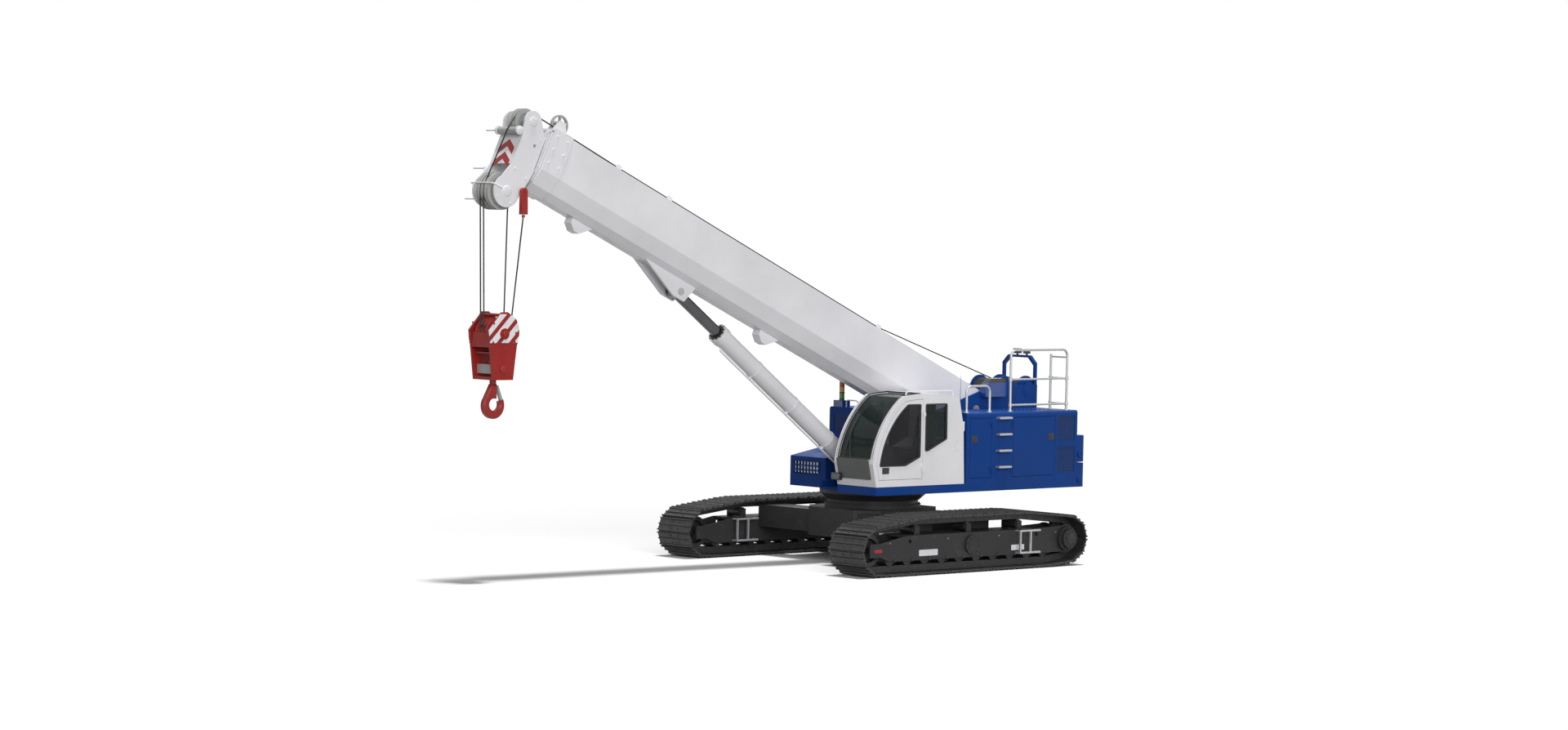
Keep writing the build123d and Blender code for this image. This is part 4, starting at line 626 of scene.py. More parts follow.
class CRANE_OT_stage(bpy.types.Operator):
    """Camera at the photograph's place, pale floor, even light and a high sun"""

    bl_idname = "crane.stage"
    bl_label = "Stage"

    def execute(self, context):
        settings = context.scene.crane_stage
        yaw, pitch, roll = CAMERA_TURN
        ahead = np.array([math.cos(pitch) * math.cos(yaw), math.cos(pitch) * math.sin(yaw),
                          math.sin(pitch)])
        right = np.array([math.sin(yaw), -math.cos(yaw), 0.0])
        above = np.cross(right, ahead)
        right, above = (math.cos(roll) * right + math.sin(roll) * above,
                        -math.sin(roll) * right + math.cos(roll) * above)
        data = bpy.data.cameras.new("camera")
        data.sensor_width = 36
        data.lens = settings.lens * 1000
        data.clip_end = 400
        turn = np.stack([right, above, -ahead], axis=-1)
        context.scene.camera = self.place(context, data, turn, SLEW + CAMERA_EYE)
        context.scene.view_settings.view_transform = "Standard"
        self.light(context, "high_sun", settings.sun, (0.05, -0.10, -1.0), 0.09)
        self.light(context, "side_fill", settings.fill, (-0.45, -0.86, -0.22), 0.9)
        self.sky(context, settings.sky)
        self.floor(settings)
        return {"FINISHED"}

    def place(self, context, data, turn, where):
        """Object for a camera or a lamp, turned by a matrix whose columns are its axes."""
        matrix = np.eye(4)
        matrix[:3, :3], matrix[:3, 3] = turn, where
        made = bpy.data.objects.new(data.name, data)
        made.matrix_world = Matrix(matrix.tolist())
        context.scene.collection.objects.link(made)
        return made

    def light(self, context, name, energy, aim, spread):
        data = bpy.data.lights.new(name, "SUN")
        data.energy = energy
        data.angle = spread
        self.place(context, data, axes(FORWARD, -np.array(aim)), np.zeros(3))

    def seen_ray(self, tree):
        """1 on rays from the camera, through glass or off gloss, which see the background; else 0."""
        ray = tree.nodes.new("ShaderNodeLightPath")
        total = ray.outputs["Is Camera Ray"]
        for kind in ("Is Glossy Ray", "Is Transmission Ray"):
            either = tree.nodes.new("ShaderNodeMath")
            either.operation = "MAXIMUM"
            tree.links.new(total, either.inputs[0])
            tree.links.new(ray.outputs[kind], either.inputs[1])
            total = either.outputs[0]
        return total

    def sky(self, context, lit_strength):
        world = bpy.data.worlds.new("sky")
        world.use_nodes = True
        tree = world.node_tree
        lit, seen = tree.nodes["Background"], tree.nodes.new("ShaderNodeBackground")
        for shader, level in ((lit, lit_strength), (seen, 1.0)):
            shader.inputs["Color"].default_value = (1, 1, 1, 1)
            shader.inputs["Strength"].default_value = level
        mix = tree.nodes.new("ShaderNodeMixShader")
        tree.links.new(self.seen_ray(tree), mix.inputs["Fac"])
        tree.links.new(lit.outputs[0], mix.inputs[1])
        tree.links.new(seen.outputs[0], mix.inputs[2])
        tree.links.new(mix.outputs[0], tree.nodes["World Output"].inputs["Surface"])
        context.scene.world = world

    def floor(self, settings):
        material = bpy.data.materials.new("pale_floor")
        material.use_nodes = True
        tree = material.node_tree
        shader = tree.nodes["Principled BSDF"]
        shader.inputs["Roughness"].default_value = 1.0
        shader.inputs["Specular IOR Level"].default_value = 0.0
        seen = tree.nodes.new("ShaderNodeMix")
        seen.data_type = "RGBA"
        tree.links.new(self.seen_ray(tree), seen.inputs["Factor"])
        seen.inputs["A"].default_value = (*settings.bounce, 1)
        seen.inputs["B"].default_value = (*settings.floor, 1)
        tree.links.new(seen.outputs["Result"], shader.inputs["Base Color"])
        reach = np.array([-160.0, 160.0])
        points = np.stack(np.meshgrid(reach, reach, indexing="ij"), axis=-1)
        shell = grid(np.concatenate([points, np.full((2, 2, 1), -0.001)], axis=-1))
        FINISH["floor"] = material
        make("floor", shell, None, "floor")


# Nodes that don't wear the blue paint, by finish
WEAR = {
    "track": "left_track right_track",
    "black": "left_track_frame right_track_frame car_body slew_ring turntable drive_sprockets",
    "roller": "front_idlers track_rollers",
    "zinc": "track_steps ladder rear_railing side_railing",
    "white": "cab_shell cab_door cylinder_tube boom_base boom_second_section boom_third_section "
             "boom_tip_section boom_head",
    "steel": "boom_foot_pin cylinder_pin rod_pin",
    "sheave": "guide_wheel crosshead hook_latch head_sheaves top_sheaves",
    "red": "hook block_sheaves", "block": "hook_block", "rope": "fall_ropes", "rod": "cylinder_rod",
    "hose_cover": "hose_cover", "beacon": "beacon", "engine": "engine", "glass": "cab_glass",
    "door_glass": "door_glass", "seat": "cab_seat", "console": "cab_console",
    "plastic": "arch_lamps",
}


class CRANE_OT_finishes(bpy.types.Operator):
    """Finishes of the solids"""

    bl_idname = "crane.finishes"
    bl_label = "Finishes"

    def execute(self, context):
        tone = context.scene.crane_colours
        blue, white, black, red, grey, glass = (
            tuple(c) for c in (tone.blue, tone.white, tone.black, tone.red, tone.grey, tone.glass))
        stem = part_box("beacon")[1][2] - 0.34
        block_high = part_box("hook_block")[1]
        FINISH.update(
            blue=paint("blue_paint", blue, 0.40, 0.0, 0.04, 2.4, gloss=0.1),
            white=paint("white_paint", white, 0.33, 0.3, 0.05),
            black=paint("black_paint", black, 0.46, 0.0, 0.30, 1.2, peel=0.6, gloss=0.2),
            red=paint("red_paint", red, 0.38, 0.05, 0.18, gloss=0.3),
            sheave=paint("sheave_paint", grey, 0.42, 0.1, 0.25),
            engine=paint("engine_paint", (0.2, 0.21, 0.22), 0.5, 0.0, 0.4),
            track=cast("track_steel", (0.044, 0.043, 0.045), 0.35, 0.50, bright=(0.14, 0.135, 0.13)),
            roller=cast("roller_steel", (0.040, 0.040, 0.042), 0.5, 0.45, worn=0.35),
            zinc=galvanised("galvanised_steel", (0.50, 0.51, 0.52)),
            steel=polished("pin_steel", (0.42, 0.42, 0.43), 0.30),
            rod=polished("chromed_rod", (0.10, 0.10, 0.105), 0.16),
            rope=wire("wire_rope", (0.016, 0.016, 0.016)),
            # Black rubber also colours the plates of painted shade behind the grille sheets.
            rubber=moulded("black_rubber", (0.012, 0.012, 0.012), 0.62),
            plastic=moulded("black_plastic", (0.016, 0.016, 0.018), 0.45),
            console=moulded("grey_console", (0.16, 0.165, 0.17), 0.5),
            panel=paint("dark_panel", (0.05, 0.052, 0.055), 0.4, 0.2, 0.1),
            glass=tinted("tinted_glass", glass, 0.62),
            door_glass=tinted("door_glass", (0.020, 0.020, 0.023), 0.50),
            lens=polished("lamp_lens", (0.10, 0.105, 0.11), 0.14),
            seat=cloth("seat_cloth", (0.045, 0.045, 0.05)),
            reflector=moulded("red_reflector", (0.42, 0.01, 0.01), 0.25),
            block=striped("striped_red", red, white, (block_high[0], block_high[2] - 0.47), 0.24, 0.44,
                          (0.249, 0.266)),
            hose_cover=banded("hose_cover_paint", blue, [(2.955, 4.0, (0.012, 0.012, 0.013))]),
            beacon=banded("beacon_lenses", (0.02, 0.02, 0.022), [
                (0.0, stem - 0.01, blue),
                (stem + 0.04, stem + 0.13, (0.04, 0.32, 0.05)),
                (stem + 0.14, stem + 0.23, (0.75, 0.42, 0.02)),
                (stem + 0.24, stem + 0.33, (0.55, 0.015, 0.01))]),
        )
        worn = {node: finish for finish, nodes in WEAR.items() for node in nodes.split()}
        for name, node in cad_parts.items():
            node.data.materials.clear()
            node.data.materials.append(FINISH[worn.get(name, "blue")])
        return {"FINISHED"}


class CRANE_OT_ropes(bpy.types.Operator):
    """Hoist rope over the boom and its head, the falls, the wound drums and the dead end's socket"""

    bl_idname = "crane.ropes"
    bl_label = "Ropes"

    def execute(self, context):
        r = context.scene.crane_sizes.rope
        self.windings(r)
        over = GUIDE_ROPE + r
        crest = TOP_AT[1] + TOP_SHEAVE - ROPE_GROOVE + r
        leave = at(WINCH_X[0] + 0.02, 0.0, WINCH_Z + DRUM + 3.2 * r)
        first = boom_at(GUIDES[0], ROPE_Y, over)
        rise = self.rope("hoist_rope_rise", straight(leave, first, 0.05), None, r)
        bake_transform(rise)
        last = boom_at(GUIDES[2], ROPE_Y, over)
        self.rope("hoist_rope_base", straight(first, last, 0.05), "boom", r)
        stops = np.array([GUIDES[2], *SECTION_STOPS])
        heights = over + (crest - over) * (stops - stops[0]) / (TOP_AT[0] - stops[0])
        ends = boom_at(stops, ROPE_Y, heights)
        for k in range(3):
            line = straight(ends[k], ends[k + 1], 0.02)
            piece = self.rope(f"hoist_rope_run_{k + 1}", line, None, r)
            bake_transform(piece)
        turn = np.radians(np.linspace(90, 8, 14))
        reach = TOP_SHEAVE - ROPE_GROOVE + r
        arc = boom_at(TOP_AT[0] + reach * np.cos(turn), ROPE_Y, TOP_AT[1] + reach * np.sin(turn))
        front = boom_at([GUIDE_AT[0] + GUIDE_ROLLER + r, LOW_AT[0] + LOW_SHEAVE - ROPE_GROOVE + r],
                        ROPE_Y, [GUIDE_AT[1], LOW_AT[1]])
        self.rope("hoist_rope_head", np.concatenate([ends[3:], arc, front]), "boom_tip", r)
        low = boom_at(LOW_AT[0], 0.0, LOW_AT[1])
        block = np.array([low[0], 0.0, AXLE_Z])
        for name, centre, radius, lanes, body in (
                ("head_sheave_ropes", low, LOW_SHEAVE, (-1, 1), "boom_tip"),
                ("block_sheave_ropes", block, BLOCK_SHEAVE, (-1, 1, 3), "hook_block")):
            rings = [tube(polar(centre + lane * ROPE_Y * ACROSS, radius - ROPE_GROOVE + r, 48), r, 8,
                          closed=True) for lane in lanes]
            make(name, together(*rings), body, "rope")
        self.falls(low, block, r)
        return {"FINISHED"}

    def rope(self, name, path, body, radius):
        """Rope of six strands laid round each other."""
        shell = tube(path, radius, 12, lobes=6, twist=TAU / ROPE_LAY)
        return make(name, shell, body, "rope", 60)

    def windings(self, r):
        """Layers of rope on the drums: helices (R cos 2 pi n t, y0 + (y1 - y0) t, R sin 2 pi n t)."""
        full, half = (-DRUM_HALF, DRUM_HALF), (-DRUM_HALF, 0.0)
        for name, x, layers in (("main_winch_rope", WINCH_X[0], (full, half)),
                                ("auxiliary_winch_rope", WINCH_X[1], (full,))):
            shells = []
            for k, (low, high) in enumerate(layers):
                radius = DRUM + r + 1.75 * r * k
                turns = (high - low) / (2.06 * r)
                t = np.linspace(0, 1, int(turns * 22))
                angle = TAU * turns * t
                path = at(x + radius * np.cos(angle), low + (high - low) * t,
                          WINCH_Z + radius * np.sin(angle))
                shells.append(tube(path, r, 7))
            make(name, together(*shells), "upper", "rope")

    def falls(self, low, block, r):
        """Falls between the head's sheaves and the block's, and the dead end with its wedge socket."""
        top, foot = LOW_SHEAVE - ROPE_GROOVE + r, BLOCK_SHEAVE - ROPE_GROOVE + r

        def fall(start, end):
            return tube(straight(start, end, 0.012), r, 10, lobes=5, twist=TAU / ROPE_LAY)

        shells = [fall(low + [way * top, y, 0], block + [way * foot, y, 0])
                  for way, y in ((1, -ROPE_Y), (1, ROPE_Y), (-1, -ROPE_Y))]
        ropes = make("falls", together(*shells), None, "rope", 60)
        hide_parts("fall_ropes")
        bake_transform(ropes)
        eye = low + [-0.27, 0.345, 0.0]
        line = fall(eye - 0.36 * UP, block + [-foot, 3 * ROPE_Y, 0])
        dead = make("dead_end_fall", line, None, "rope", 60)
        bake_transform(dead)
        crown = np.radians(np.linspace(180, 0, 9))
        outline = np.vstack([np.column_stack([0.056 * np.cos(crown), 0.056 * np.sin(crown)]),
                             [(0.060, -0.10), (0.060, -0.355), (-0.060, -0.355), (-0.060, -0.10)]])
        pin = [(0, -0.012), (0.024, -0.012), (0.024, 0.108), (0, 0.108)]
        ring = [(0.016, -0.40), (0.026, -0.40), (0.026, -0.36), (0.016, -0.36), (0.016, -0.40)]
        face = eye + [0, 0.035, 0]
        socket = together(mounted(plate(outline, 0.07, 0.006), face, FORWARD, -ACROSS),
                          knob(pin, 20, face, -ACROSS), repeat(lathe(ring, 16), eye))
        make("rope_socket", socket, "falls", "red")


class CRANE_OT_tracks(bpy.types.Operator):
    """Bolt heads on the track shoes, and the lips by which each shoe laps under the next"""

    bl_idname = "crane.tracks"
    bl_label = "Track bolts"

    def execute(self, context):
        radius = context.scene.crane_sizes.shoe_bolt
        knuckles = self.knuckles()
        after = np.roll(knuckles, -1, 0)
        run = unit(after - knuckles)
        out = np.stack([run[:, 1], -run[:, 0]], axis=-1)
        centre = (knuckles + after) / 2 + out * SHOE_PLATE
        flat = np.concatenate([centre + run * s for s in (-0.058, 0.058)])
        lean = run + np.roll(run, 1, 0)
        head = lathe([(0, 0), (radius, 0), (radius, 0.010), (0.75 * radius, 0.014), (0, 0.014)], 6)
        lip = brick((SHOE_WIDTH - 0.02, 0.060, 0.008), 0.002)
        for hand, way in HANDS:
            y = way * GAUGE / 2
            shells = [mounted(head, at(flat[:, 0], y + dy, flat[:, 1]), ACROSS,
                              self.upright(np.tile(out, (2, 1)))) for dy in (-0.085, 0.085)]
            make(f"{hand}_shoe_bolts", together(*shells), "undercarriage", "track")
            lips = mounted(lip, at(knuckles[:, 0], y, knuckles[:, 1]), ACROSS,
                           self.upright(np.stack([lean[:, 1], -lean[:, 0]], axis=-1)))
            make(f"{hand}_shoe_lips", lips, "undercarriage", "track")
        return {"FINISHED"}

    def upright(self, flat):
        """Directions (x, z) of the side view as (x, 0, z)."""
        return np.column_stack([flat[:, 0], np.zeros(len(flat)), flat[:, 1]])

    def knuckles(self):
        """Joints of the chain: the line round the track's wheels, arcs and tangents end to end, cut
        into equal lengths."""
        x, z, r = TRACK_WHEELS.T
        r = r - SHOE_FOOT
        nx, nz, nr = (np.roll(v, -1) for v in (x, z, r))
        normal = np.arctan2(nz - z, nx - x) - np.arccos((r - nr) / np.hypot(nx - x, nz - z))
        before = np.roll(normal, 1)
        sweep = (normal - before) % TAU
        turn = before[:, None] + sweep[:, None] * np.linspace(0, 1, 400)
        line = np.stack([x[:, None] + r[:, None] * np.cos(turn),
                         z[:, None] + r[:, None] * np.sin(turn)], axis=-1).reshape(-1, 2)
        closed = np.vstack([line, line[:1]])
        along = run_length(closed)
        stops = along[-1] * np.arange(SHOE_COUNT) / SHOE_COUNT
        return np.stack([np.interp(stops, along, closed[:, k]) for k in (0, 1)], axis=-1)


class CRANE_OT_undercarriage(bpy.types.Operator):
    """Bolts of the hubs, covers and slewing ring, roller caps, blank plates and reflectors"""

    bl_idname = "crane.undercarriage"
    bl_label = "Undercarriage fittings"

    def execute(self, context):
        dark, steel, blank, red = [], [], [], []
        for _, way in HANDS:
            out, face = way * ACROSS, way * FRAME_OUT
            hub = at(HUB_AT[0], face + way * 0.059, HUB_AT[1])
            cap = at(HUB_AT[0], face + way * 0.118, HUB_AT[1])
            cover = at(COVER_AT[0], face + way * 0.034, COVER_AT[1])
            rollers = at(np.linspace(-1.773, 1.743, 10), face, 0.2545)
            dark += [
                studs(0.013, 0.018, polar(hub, 0.183, 16), out),
                studs(0.011, 0.012, polar(cap, 0.128, 10, phase=0.2), out),
                knob([(0.095, 0), (0.095, 0.008), (0.055, 0.014), (0, 0.014)], 32, cap, out),
                studs(0.011, 0.012, polar(cover, 0.14, 8, phase=0.2), out),
                knob([(0.10, 0), (0.10, 0.006), (0.03, 0.010), (0, 0.010)], 32, cover, out),
                knob([(0.033, -0.003), (0.033, 0.010), (0.024, 0.016), (0, 0.016)], 16, rollers, out)]
            nipples = at([-1.95, -0.62, 0.55, 1.85], face, [0.56, 0.56, 0.56, 0.53])
            steel.append(studs(0.008, 0.014, nipples, out))
            for x, size in ((0.99, (0.42, 0.10)), (-1.06, (0.30, 0.09))):
                blank.append(card(size, 0.008, 0.004, 0.001, at(x, face, 0.35), FORWARD, out))
            red.append(card((0.17, 0.055), 0.006, 0.008, 0.002, at(2.11, face, 0.415), FORWARD, out))
        dark.append(studs(0.011, 0.016, polar(at(0, 0, RING_TOP), 0.782, 40, v=ACROSS), UP))
        lug = plate(mirrored([(0.06, 0), (0.06, 0.07), (0.03, 0.11)]), 0.03, 0.004)
        lugs = at([-0.88, -0.88, 0.88, 0.88], [-0.42, 0.40, -0.42, 0.40], 0.905)
        dark.append(mounted(lug, lugs, FORWARD, ACROSS))
        for name, shells, finish in (
                ("frame_bolts", dark, "black"), ("grease_nipples", steel, "steel"),
                ("blank_plates", blank, "white"), ("frame_reflectors", red, "reflector")):
            make(name, together(*shells), "undercarriage", finish)
        return {"FINISHED"}


class CRANE_OT_cab(bpy.types.Operator):
    """Window seals, wiper, latch, front panel, lamp, roof rail and aerial of the cab"""

    bl_idname = "crane.cab"
    bl_label = "Cab trim"

    def execute(self, context):
        self.front, self.radius = three_point(*CAB_FRONT)
        self.seals(context.scene.crane_sizes.seal)
        self.wiper()
        self.panel()
        self.latch()
        rail = bent(at([0.52, 0.52, -0.56, -0.56], 1.285, [2.80, 2.885, 2.885, 2.79]), 0.05)
        stays = [tube(at(x, 1.285, [2.80, 2.882]), 0.009, 8) for x in (0.16, -0.20)]
        make("roof_rail", together(tube(rail, 0.012, 10), *stays), "upper", "white")
        mast = tube(at(-0.90, 1.12, [2.51, 3.12]), np.array([0.006, 0.002]), 8)
        foot = knob([(0.03, 0), (0.03, 0.012), (0.014, 0.05), (0, 0.05)], 16,
                    at(-0.90, 1.12, HOUSING_TOP), UP)
        make("aerial", together(mast, foot), "upper", "plastic")
        box = mounted(brick((0.05, 0.09, 0.16), 0.006), at(-0.79, 1.28, 2.21), FORWARD, UP)
        make("cab_rear_box", box, "upper", "white")
        slats = at(-0.35, np.linspace(0.72, 1.04, 7), 2.826)
        vents = mounted(brick((0.30, 0.014, 0.010), 0.003), slats, FORWARD, UP)
        make("roof_vents", vents, "upper", "white")
        return {"FINISHED"}

    def on_front(self, z, inset=0.0):
        """x of the curved front at a height."""
        return self.front[0] + np.sqrt((self.radius - inset) ** 2 - (z - self.front[1]) ** 2)

    def seals(self, width):
        """Rubber round the door's pane, the rear window and the screen, and the pillars' lines."""
        roof, roof_radius = three_point(*CAB_ROOF)
        z = np.linspace(1.68, 2.672, 18)
        pane = np.vstack([[(0.226, 1.815), (0.555, 1.680)],
                          np.stack([self.on_front(z, 0.165), z], axis=-1), [(0.226, 2.672)]])
        for name, outline, body in (("door_seal", pane, "cab_door"),
                                    ("rear_window_seal", REAR_WINDOW, "upper")):
            line = softened(outline, WINDOW_CORNER)
            make(name, band(line, DECK_HALF, 1, width, 0.007), body, "rubber")
        rise = np.linspace(1.80, 2.80, 24)
        crown = np.linspace(0.58, 0.18, 10)
        over = roof[1] + np.sqrt(roof_radius ** 2 - (crown - roof[0]) ** 2)
        side = np.vstack([np.stack([self.on_front(rise), rise], axis=-1),
                          np.stack([crown, over], axis=-1)])
        left, right = (at(side[:, 0], y, side[:, 1]) for y in (1.259, 0.500))
        screen = tube(np.concatenate([left, right[::-1]]), 0.011, 8, ref=(0.3, 0.2, 0.9), closed=True)
        make("screen_seal", screen, "upper", "rubber")
        for name, y in (("left", 1.302), ("right", 0.457)):
            line = tube(at(side[:, 0], y, side[:, 1]), 0.004, 6)
            make(f"{name}_pillar_line", line, "upper", "rubber")

    def wiper(self):
        sweep, lift = np.linspace(1.93, 2.50, 16), np.linspace(1.79, 2.22, 12)
        blade = at(self.on_front(sweep, 0.004), 0.64, sweep)
        arm = at(self.on_front(lift, -0.012), np.linspace(0.80, 0.645, 12), lift)
        boss = knob([(0, 0), (0.022, 0), (0.022, 0.022), (0, 0.030)], 16, arm[0] - [0.022, 0, 0],
                    FORWARD, UP)
        make("wiper", together(tube(blade, 0.008, 6), tube(arm, 0.006, 8), boss), "upper", "rubber")

    def panel(self):
        """Dark panel on the sloping face below the screen, and the lamp beside it."""
        slope = unit(np.array([0.086, 0, 0.380]))
        face = np.cross(ACROSS, slope)
        place = at(1.204 + 0.086 * 0.285 / 0.380, 0.870, 1.625)
        corners = np.array([(x, y) for x in (-0.34, 0.34) for y in (-0.135, 0.135)])
        heads = place + corners[:, :1] * ACROSS + corners[:, 1:] * slope + 0.010 * face
        sheet = card((0.76, 0.345), 0.03, 0.010, 0.003, place, ACROSS, face, steps=6)
        make("front_panel", together(sheet, studs(0.007, 0.006, heads, face)), "upper", "panel")
        lamp = at(1.215, 0.455, 1.475)
        case = mounted(brick((0.12, 0.20, 0.085), 0.010), lamp, UP, FORWARD)
        make("front_lamp_case", case, "upper", "plastic")
        glass = card((0.092, 0.172), 0.016, 0.006, 0.003, lamp + [0.084, 0, 0], UP, FORWARD)
        make("front_lamp_lens", glass, "upper", "lens")

    def latch(self):
        place = at(1.0, DECK_HALF, 1.605)
        cup = [(0.036, 0.007), (0.036, 0.010), (0.030, 0.010), (0.026, 0.0045), (0, 0.0045)]
        grip = brick((0.085, 0.022, 0.012), 0.004)
        shells = [card((0.155, 0.105), 0.014, 0.007, 0.002, place, FORWARD, ACROSS),
                  knob(cup, 24, place + [-0.035, 0, 0], ACROSS),
                  mounted(grip, place + [0.03, 0.006, 0], FORWARD, ACROSS)]
        make("cab_door_latch", together(*shells), "cab_door", "plastic")


class CRANE_OT_seat(bpy.types.Operator):
    """Padded driver's seat in place of the plain solid"""

    bl_idname = "crane.seat"
    bl_label = "Seat"

    def execute(self, context):
        low, high = (np.array(c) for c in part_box("cab_seat"))
        width = high[1] - low[1]
        middle_y = (low[1] + high[1]) / 2
        rear = low[0] + 0.12
        lean = np.array([-0.20, 0, 0.98])
        out = np.cross(ACROSS, lean)
        foot = np.array([rear + 0.36, middle_y, low[2]])
        spine = np.array([rear + 0.12, middle_y, low[2] + 0.78])
        shells = [mounted(self.cushion((0.50, width * 0.98, 0.15)), foot + 0.48 * UP, FORWARD, UP),
                  mounted(self.cushion((0.62, width * 0.94, 0.14)), spine, lean, out),
                  mounted(self.cushion((0.20, width * 0.55, 0.10)), spine + lean * 0.40, lean, out)]
        seat = make("padded_seat", together(*shells), "upper", "seat", 60)
        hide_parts("cab_seat")
        bellows = [(0.16, 0.10), (0.13, 0.18), (0.16, 0.25), (0.13, 0.33), (0.16, 0.40), (0, 0.40)]
        post = together(mounted(brick((0.40, 0.34, 0.10), 0.01), foot, FORWARD, UP),
                        knob(bellows, 24, foot, UP))
        base_piece = make("seat_post", post, "upper", "plastic")
        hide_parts("cab_seat")
        return {"FINISHED"}

    def cushion(self, size):
        """Crowned pad: a rounded box sx sy sz drawn as |cos|^p sign curves over two angles, with three
        sewn channels pressed into its upper face and sides pulled in between the corners."""
        u = np.linspace(-TAU / 4, TAU / 4, 25)[:, None]
        v = np.linspace(0, TAU, 48, endpoint=False)[None]

        def curve(value, power):
            return np.sign(value) * np.abs(value) ** power

        ring, rise = curve(np.cos(u), 0.45), curve(np.sin(u), 0.55)
        x = size[0] / 2 * ring * curve(np.cos(v), 0.35)
        y = size[1] / 2 * ring * curve(np.sin(v), 0.35)
        z = size[2] / 2 * rise + 0 * v
        pinch = 1 - 0.035 * np.cos(2 * v) ** 2
        channel = sum(np.exp(-((y - c * size[1]) / 0.012) ** 2) for c in (-0.25, 0.0, 0.25))
        z = z - 0.010 * channel * (z > 0)
        return grid(np.stack([x * pinch, y * pinch, z], axis=-1), wrap_v=True)


class CRANE_OT_housings(bpy.types.Operator):
    """Perforated sheets in the grille recesses, door latches, tread plates and bolts of the housings"""

    bl_idname = "crane.housings"
    bl_label = "Housing fittings"

    def execute(self, context):
        sheets, painted_shade_plates, heads = [], [], []
        for _, way in HANDS:
            out = way * ACROSS
            for low, high in ((1.465, 1.900), (2.000, 2.420)):
                centre = at(-3.230, way * (DECK_HALF - 0.009), (low + high) / 2)
                sheet = self.sheet(0.416, high - low - 0.004, 0.046)
                sheets.append(mounted(sheet, centre, FORWARD, out))
                # A black plate of painted shade behind each side grille sheet darkens its holes.
                behind = centre - 0.005 * out
                painted_shade_plates.append(self.back(0.418, high - low - 0.002, behind, FORWARD, out))
            ridge = at(np.linspace(-3.40, -1.0, 9), way * 0.49, HOUSING_TOP)
            sill = at(np.linspace(-3.3, -0.95, 8), way * DECK_HALF, 1.38)
            heads += [studs(0.009, 0.008, ridge, UP), studs(0.010, 0.009, sill, out)]
        grille = at(-0.239, -1.065, 2.24)
        sheets.append(mounted(self.sheet(0.326, 0.276, 0.046), grille, ACROSS, FORWARD))
        # Black plate of painted shade behind the front grille sheet, darkening its holes.
        painted_shade_plates.append(self.back(0.328, 0.278, grille - 0.005 * FORWARD, ACROSS, FORWARD))
        mesh = at(PLATFORM_FACE + 0.002, -0.95, 1.515)
        sheets.append(mounted(self.sheet(0.62, 0.23, 0.076), mesh, ACROSS, FORWARD))
        behind = self.back(0.61, 0.22, mesh - 0.004 * FORWARD, ACROSS, FORWARD)
        make("mesh_back", behind, "upper", "white")
        make("grille_sheets", together(*sheets), "upper", "blue", 30)
        # Black plates of painted shade behind the grille sheets, in place of the shadow inside the
        # recesses.
        make("grille_painted_shade", together(*painted_shade_plates), "upper", "rubber")
        for hand, way in HANDS:
            for door, x in (("front", -1.03), ("rear", -2.86)):
                place = at(x, way * DECK_HALF, 2.075)
                self.latch(f"{hand}_{door}_latch", place, way * ACROSS, f"{hand}_{door}_door")
        make("housing_bolts", together(*heads), "upper", "blue")
        treads = repeat(brick((0.030, 0.008, 0.004), 0.0015), *self.lozenges())
        make("tread_plates", treads, "upper", "blue")
        hoop = bent(at(-0.27, [-0.97, -0.97, -0.69, -0.69], [2.50, 2.63, 2.63, 2.50]), 0.05)
        make("right_grab_hoop", tube(hoop, 0.012, 10, ref=FORWARD), "upper", "white")
        catches = mounted(brick((0.045, 0.008, 0.006), 0.002),
                          at([0.15, 0.37], -DECK_HALF - 0.003, 1.50), FORWARD, -ACROSS)
        make("platform_catches", catches, "upper", "steel")
        return {"FINISHED"}

    def back(self, width, height, place, x, out):
        """Thin plate behind a perforated sheet; the black ones behind the grille sheets are painted
        shade that darkens the holes.
        """
        return card((width, height), 0.002, 0.002, 0.0005, place, x, out)

    def sheet(self, width, height, pitch):
        """Sheet of square cells, each with a round hole: eight sides between the cell's edge and the
        hole's rim, and the hole's wall behind it."""
        turn = np.linspace(0, TAU, 8, endpoint=False)
        nx, ny = int(width / pitch), int(height / pitch)
        cx, cy = width / nx, height / ny
        circle = np.stack([np.cos(turn), np.sin(turn)], axis=-1)
        edge = circle / np.abs(circle).max(1, keepdims=True) * [cx / 2, cy / 2]
        rim = 0.40 * pitch * circle
        cell = grid(stacked([(edge, 0.002), (rim, 0.002), (rim, -0.001)]), wrap_v=True)
        x = (np.arange(nx) - (nx - 1) / 2) * cx
        y = (np.arange(ny) - (ny - 1) / 2) * cy
        gx, gy = (v.ravel() for v in np.meshgrid(x, y, indexing="ij"))
        return repeat(cell, np.stack([gx, gy, 0 * gx], axis=-1))

    def latch(self, name, place, out, body):
        handle = brick((0.060, 0.075, 0.007), 0.003)
        lock = [(0.010, 0.006), (0.010, 0.009), (0, 0.009)]
        shells = [card((0.130, 0.110), 0.012, 0.006, 0.002, place, FORWARD, out),
                  mounted(handle, place + 0.005 * out + 0.010 * UP, FORWARD, out),
                  knob(lock, 14, place - 0.038 * UP, out)]
        make(name, together(*shells), body, "plastic")

    def lozenges(self):
        """Places and turns of tread bars on a grid, each second one turned the other way."""
        x, y = np.meshgrid(np.arange(-3.10, -2.0, 0.05), np.arange(0.62, 1.10, 0.05), indexing="ij")
        odd = (np.arange(x.shape[0])[:, None] + np.arange(x.shape[1])[None]) % 2
        angle = np.where(odd.ravel() == 1, TAU / 8, -TAU / 8)
        directions = np.stack([np.cos(angle), np.sin(angle), 0 * angle], axis=-1)
        return at(x.ravel(), y.ravel(), HOUSING_TOP - 0.001), axes(directions, UP)


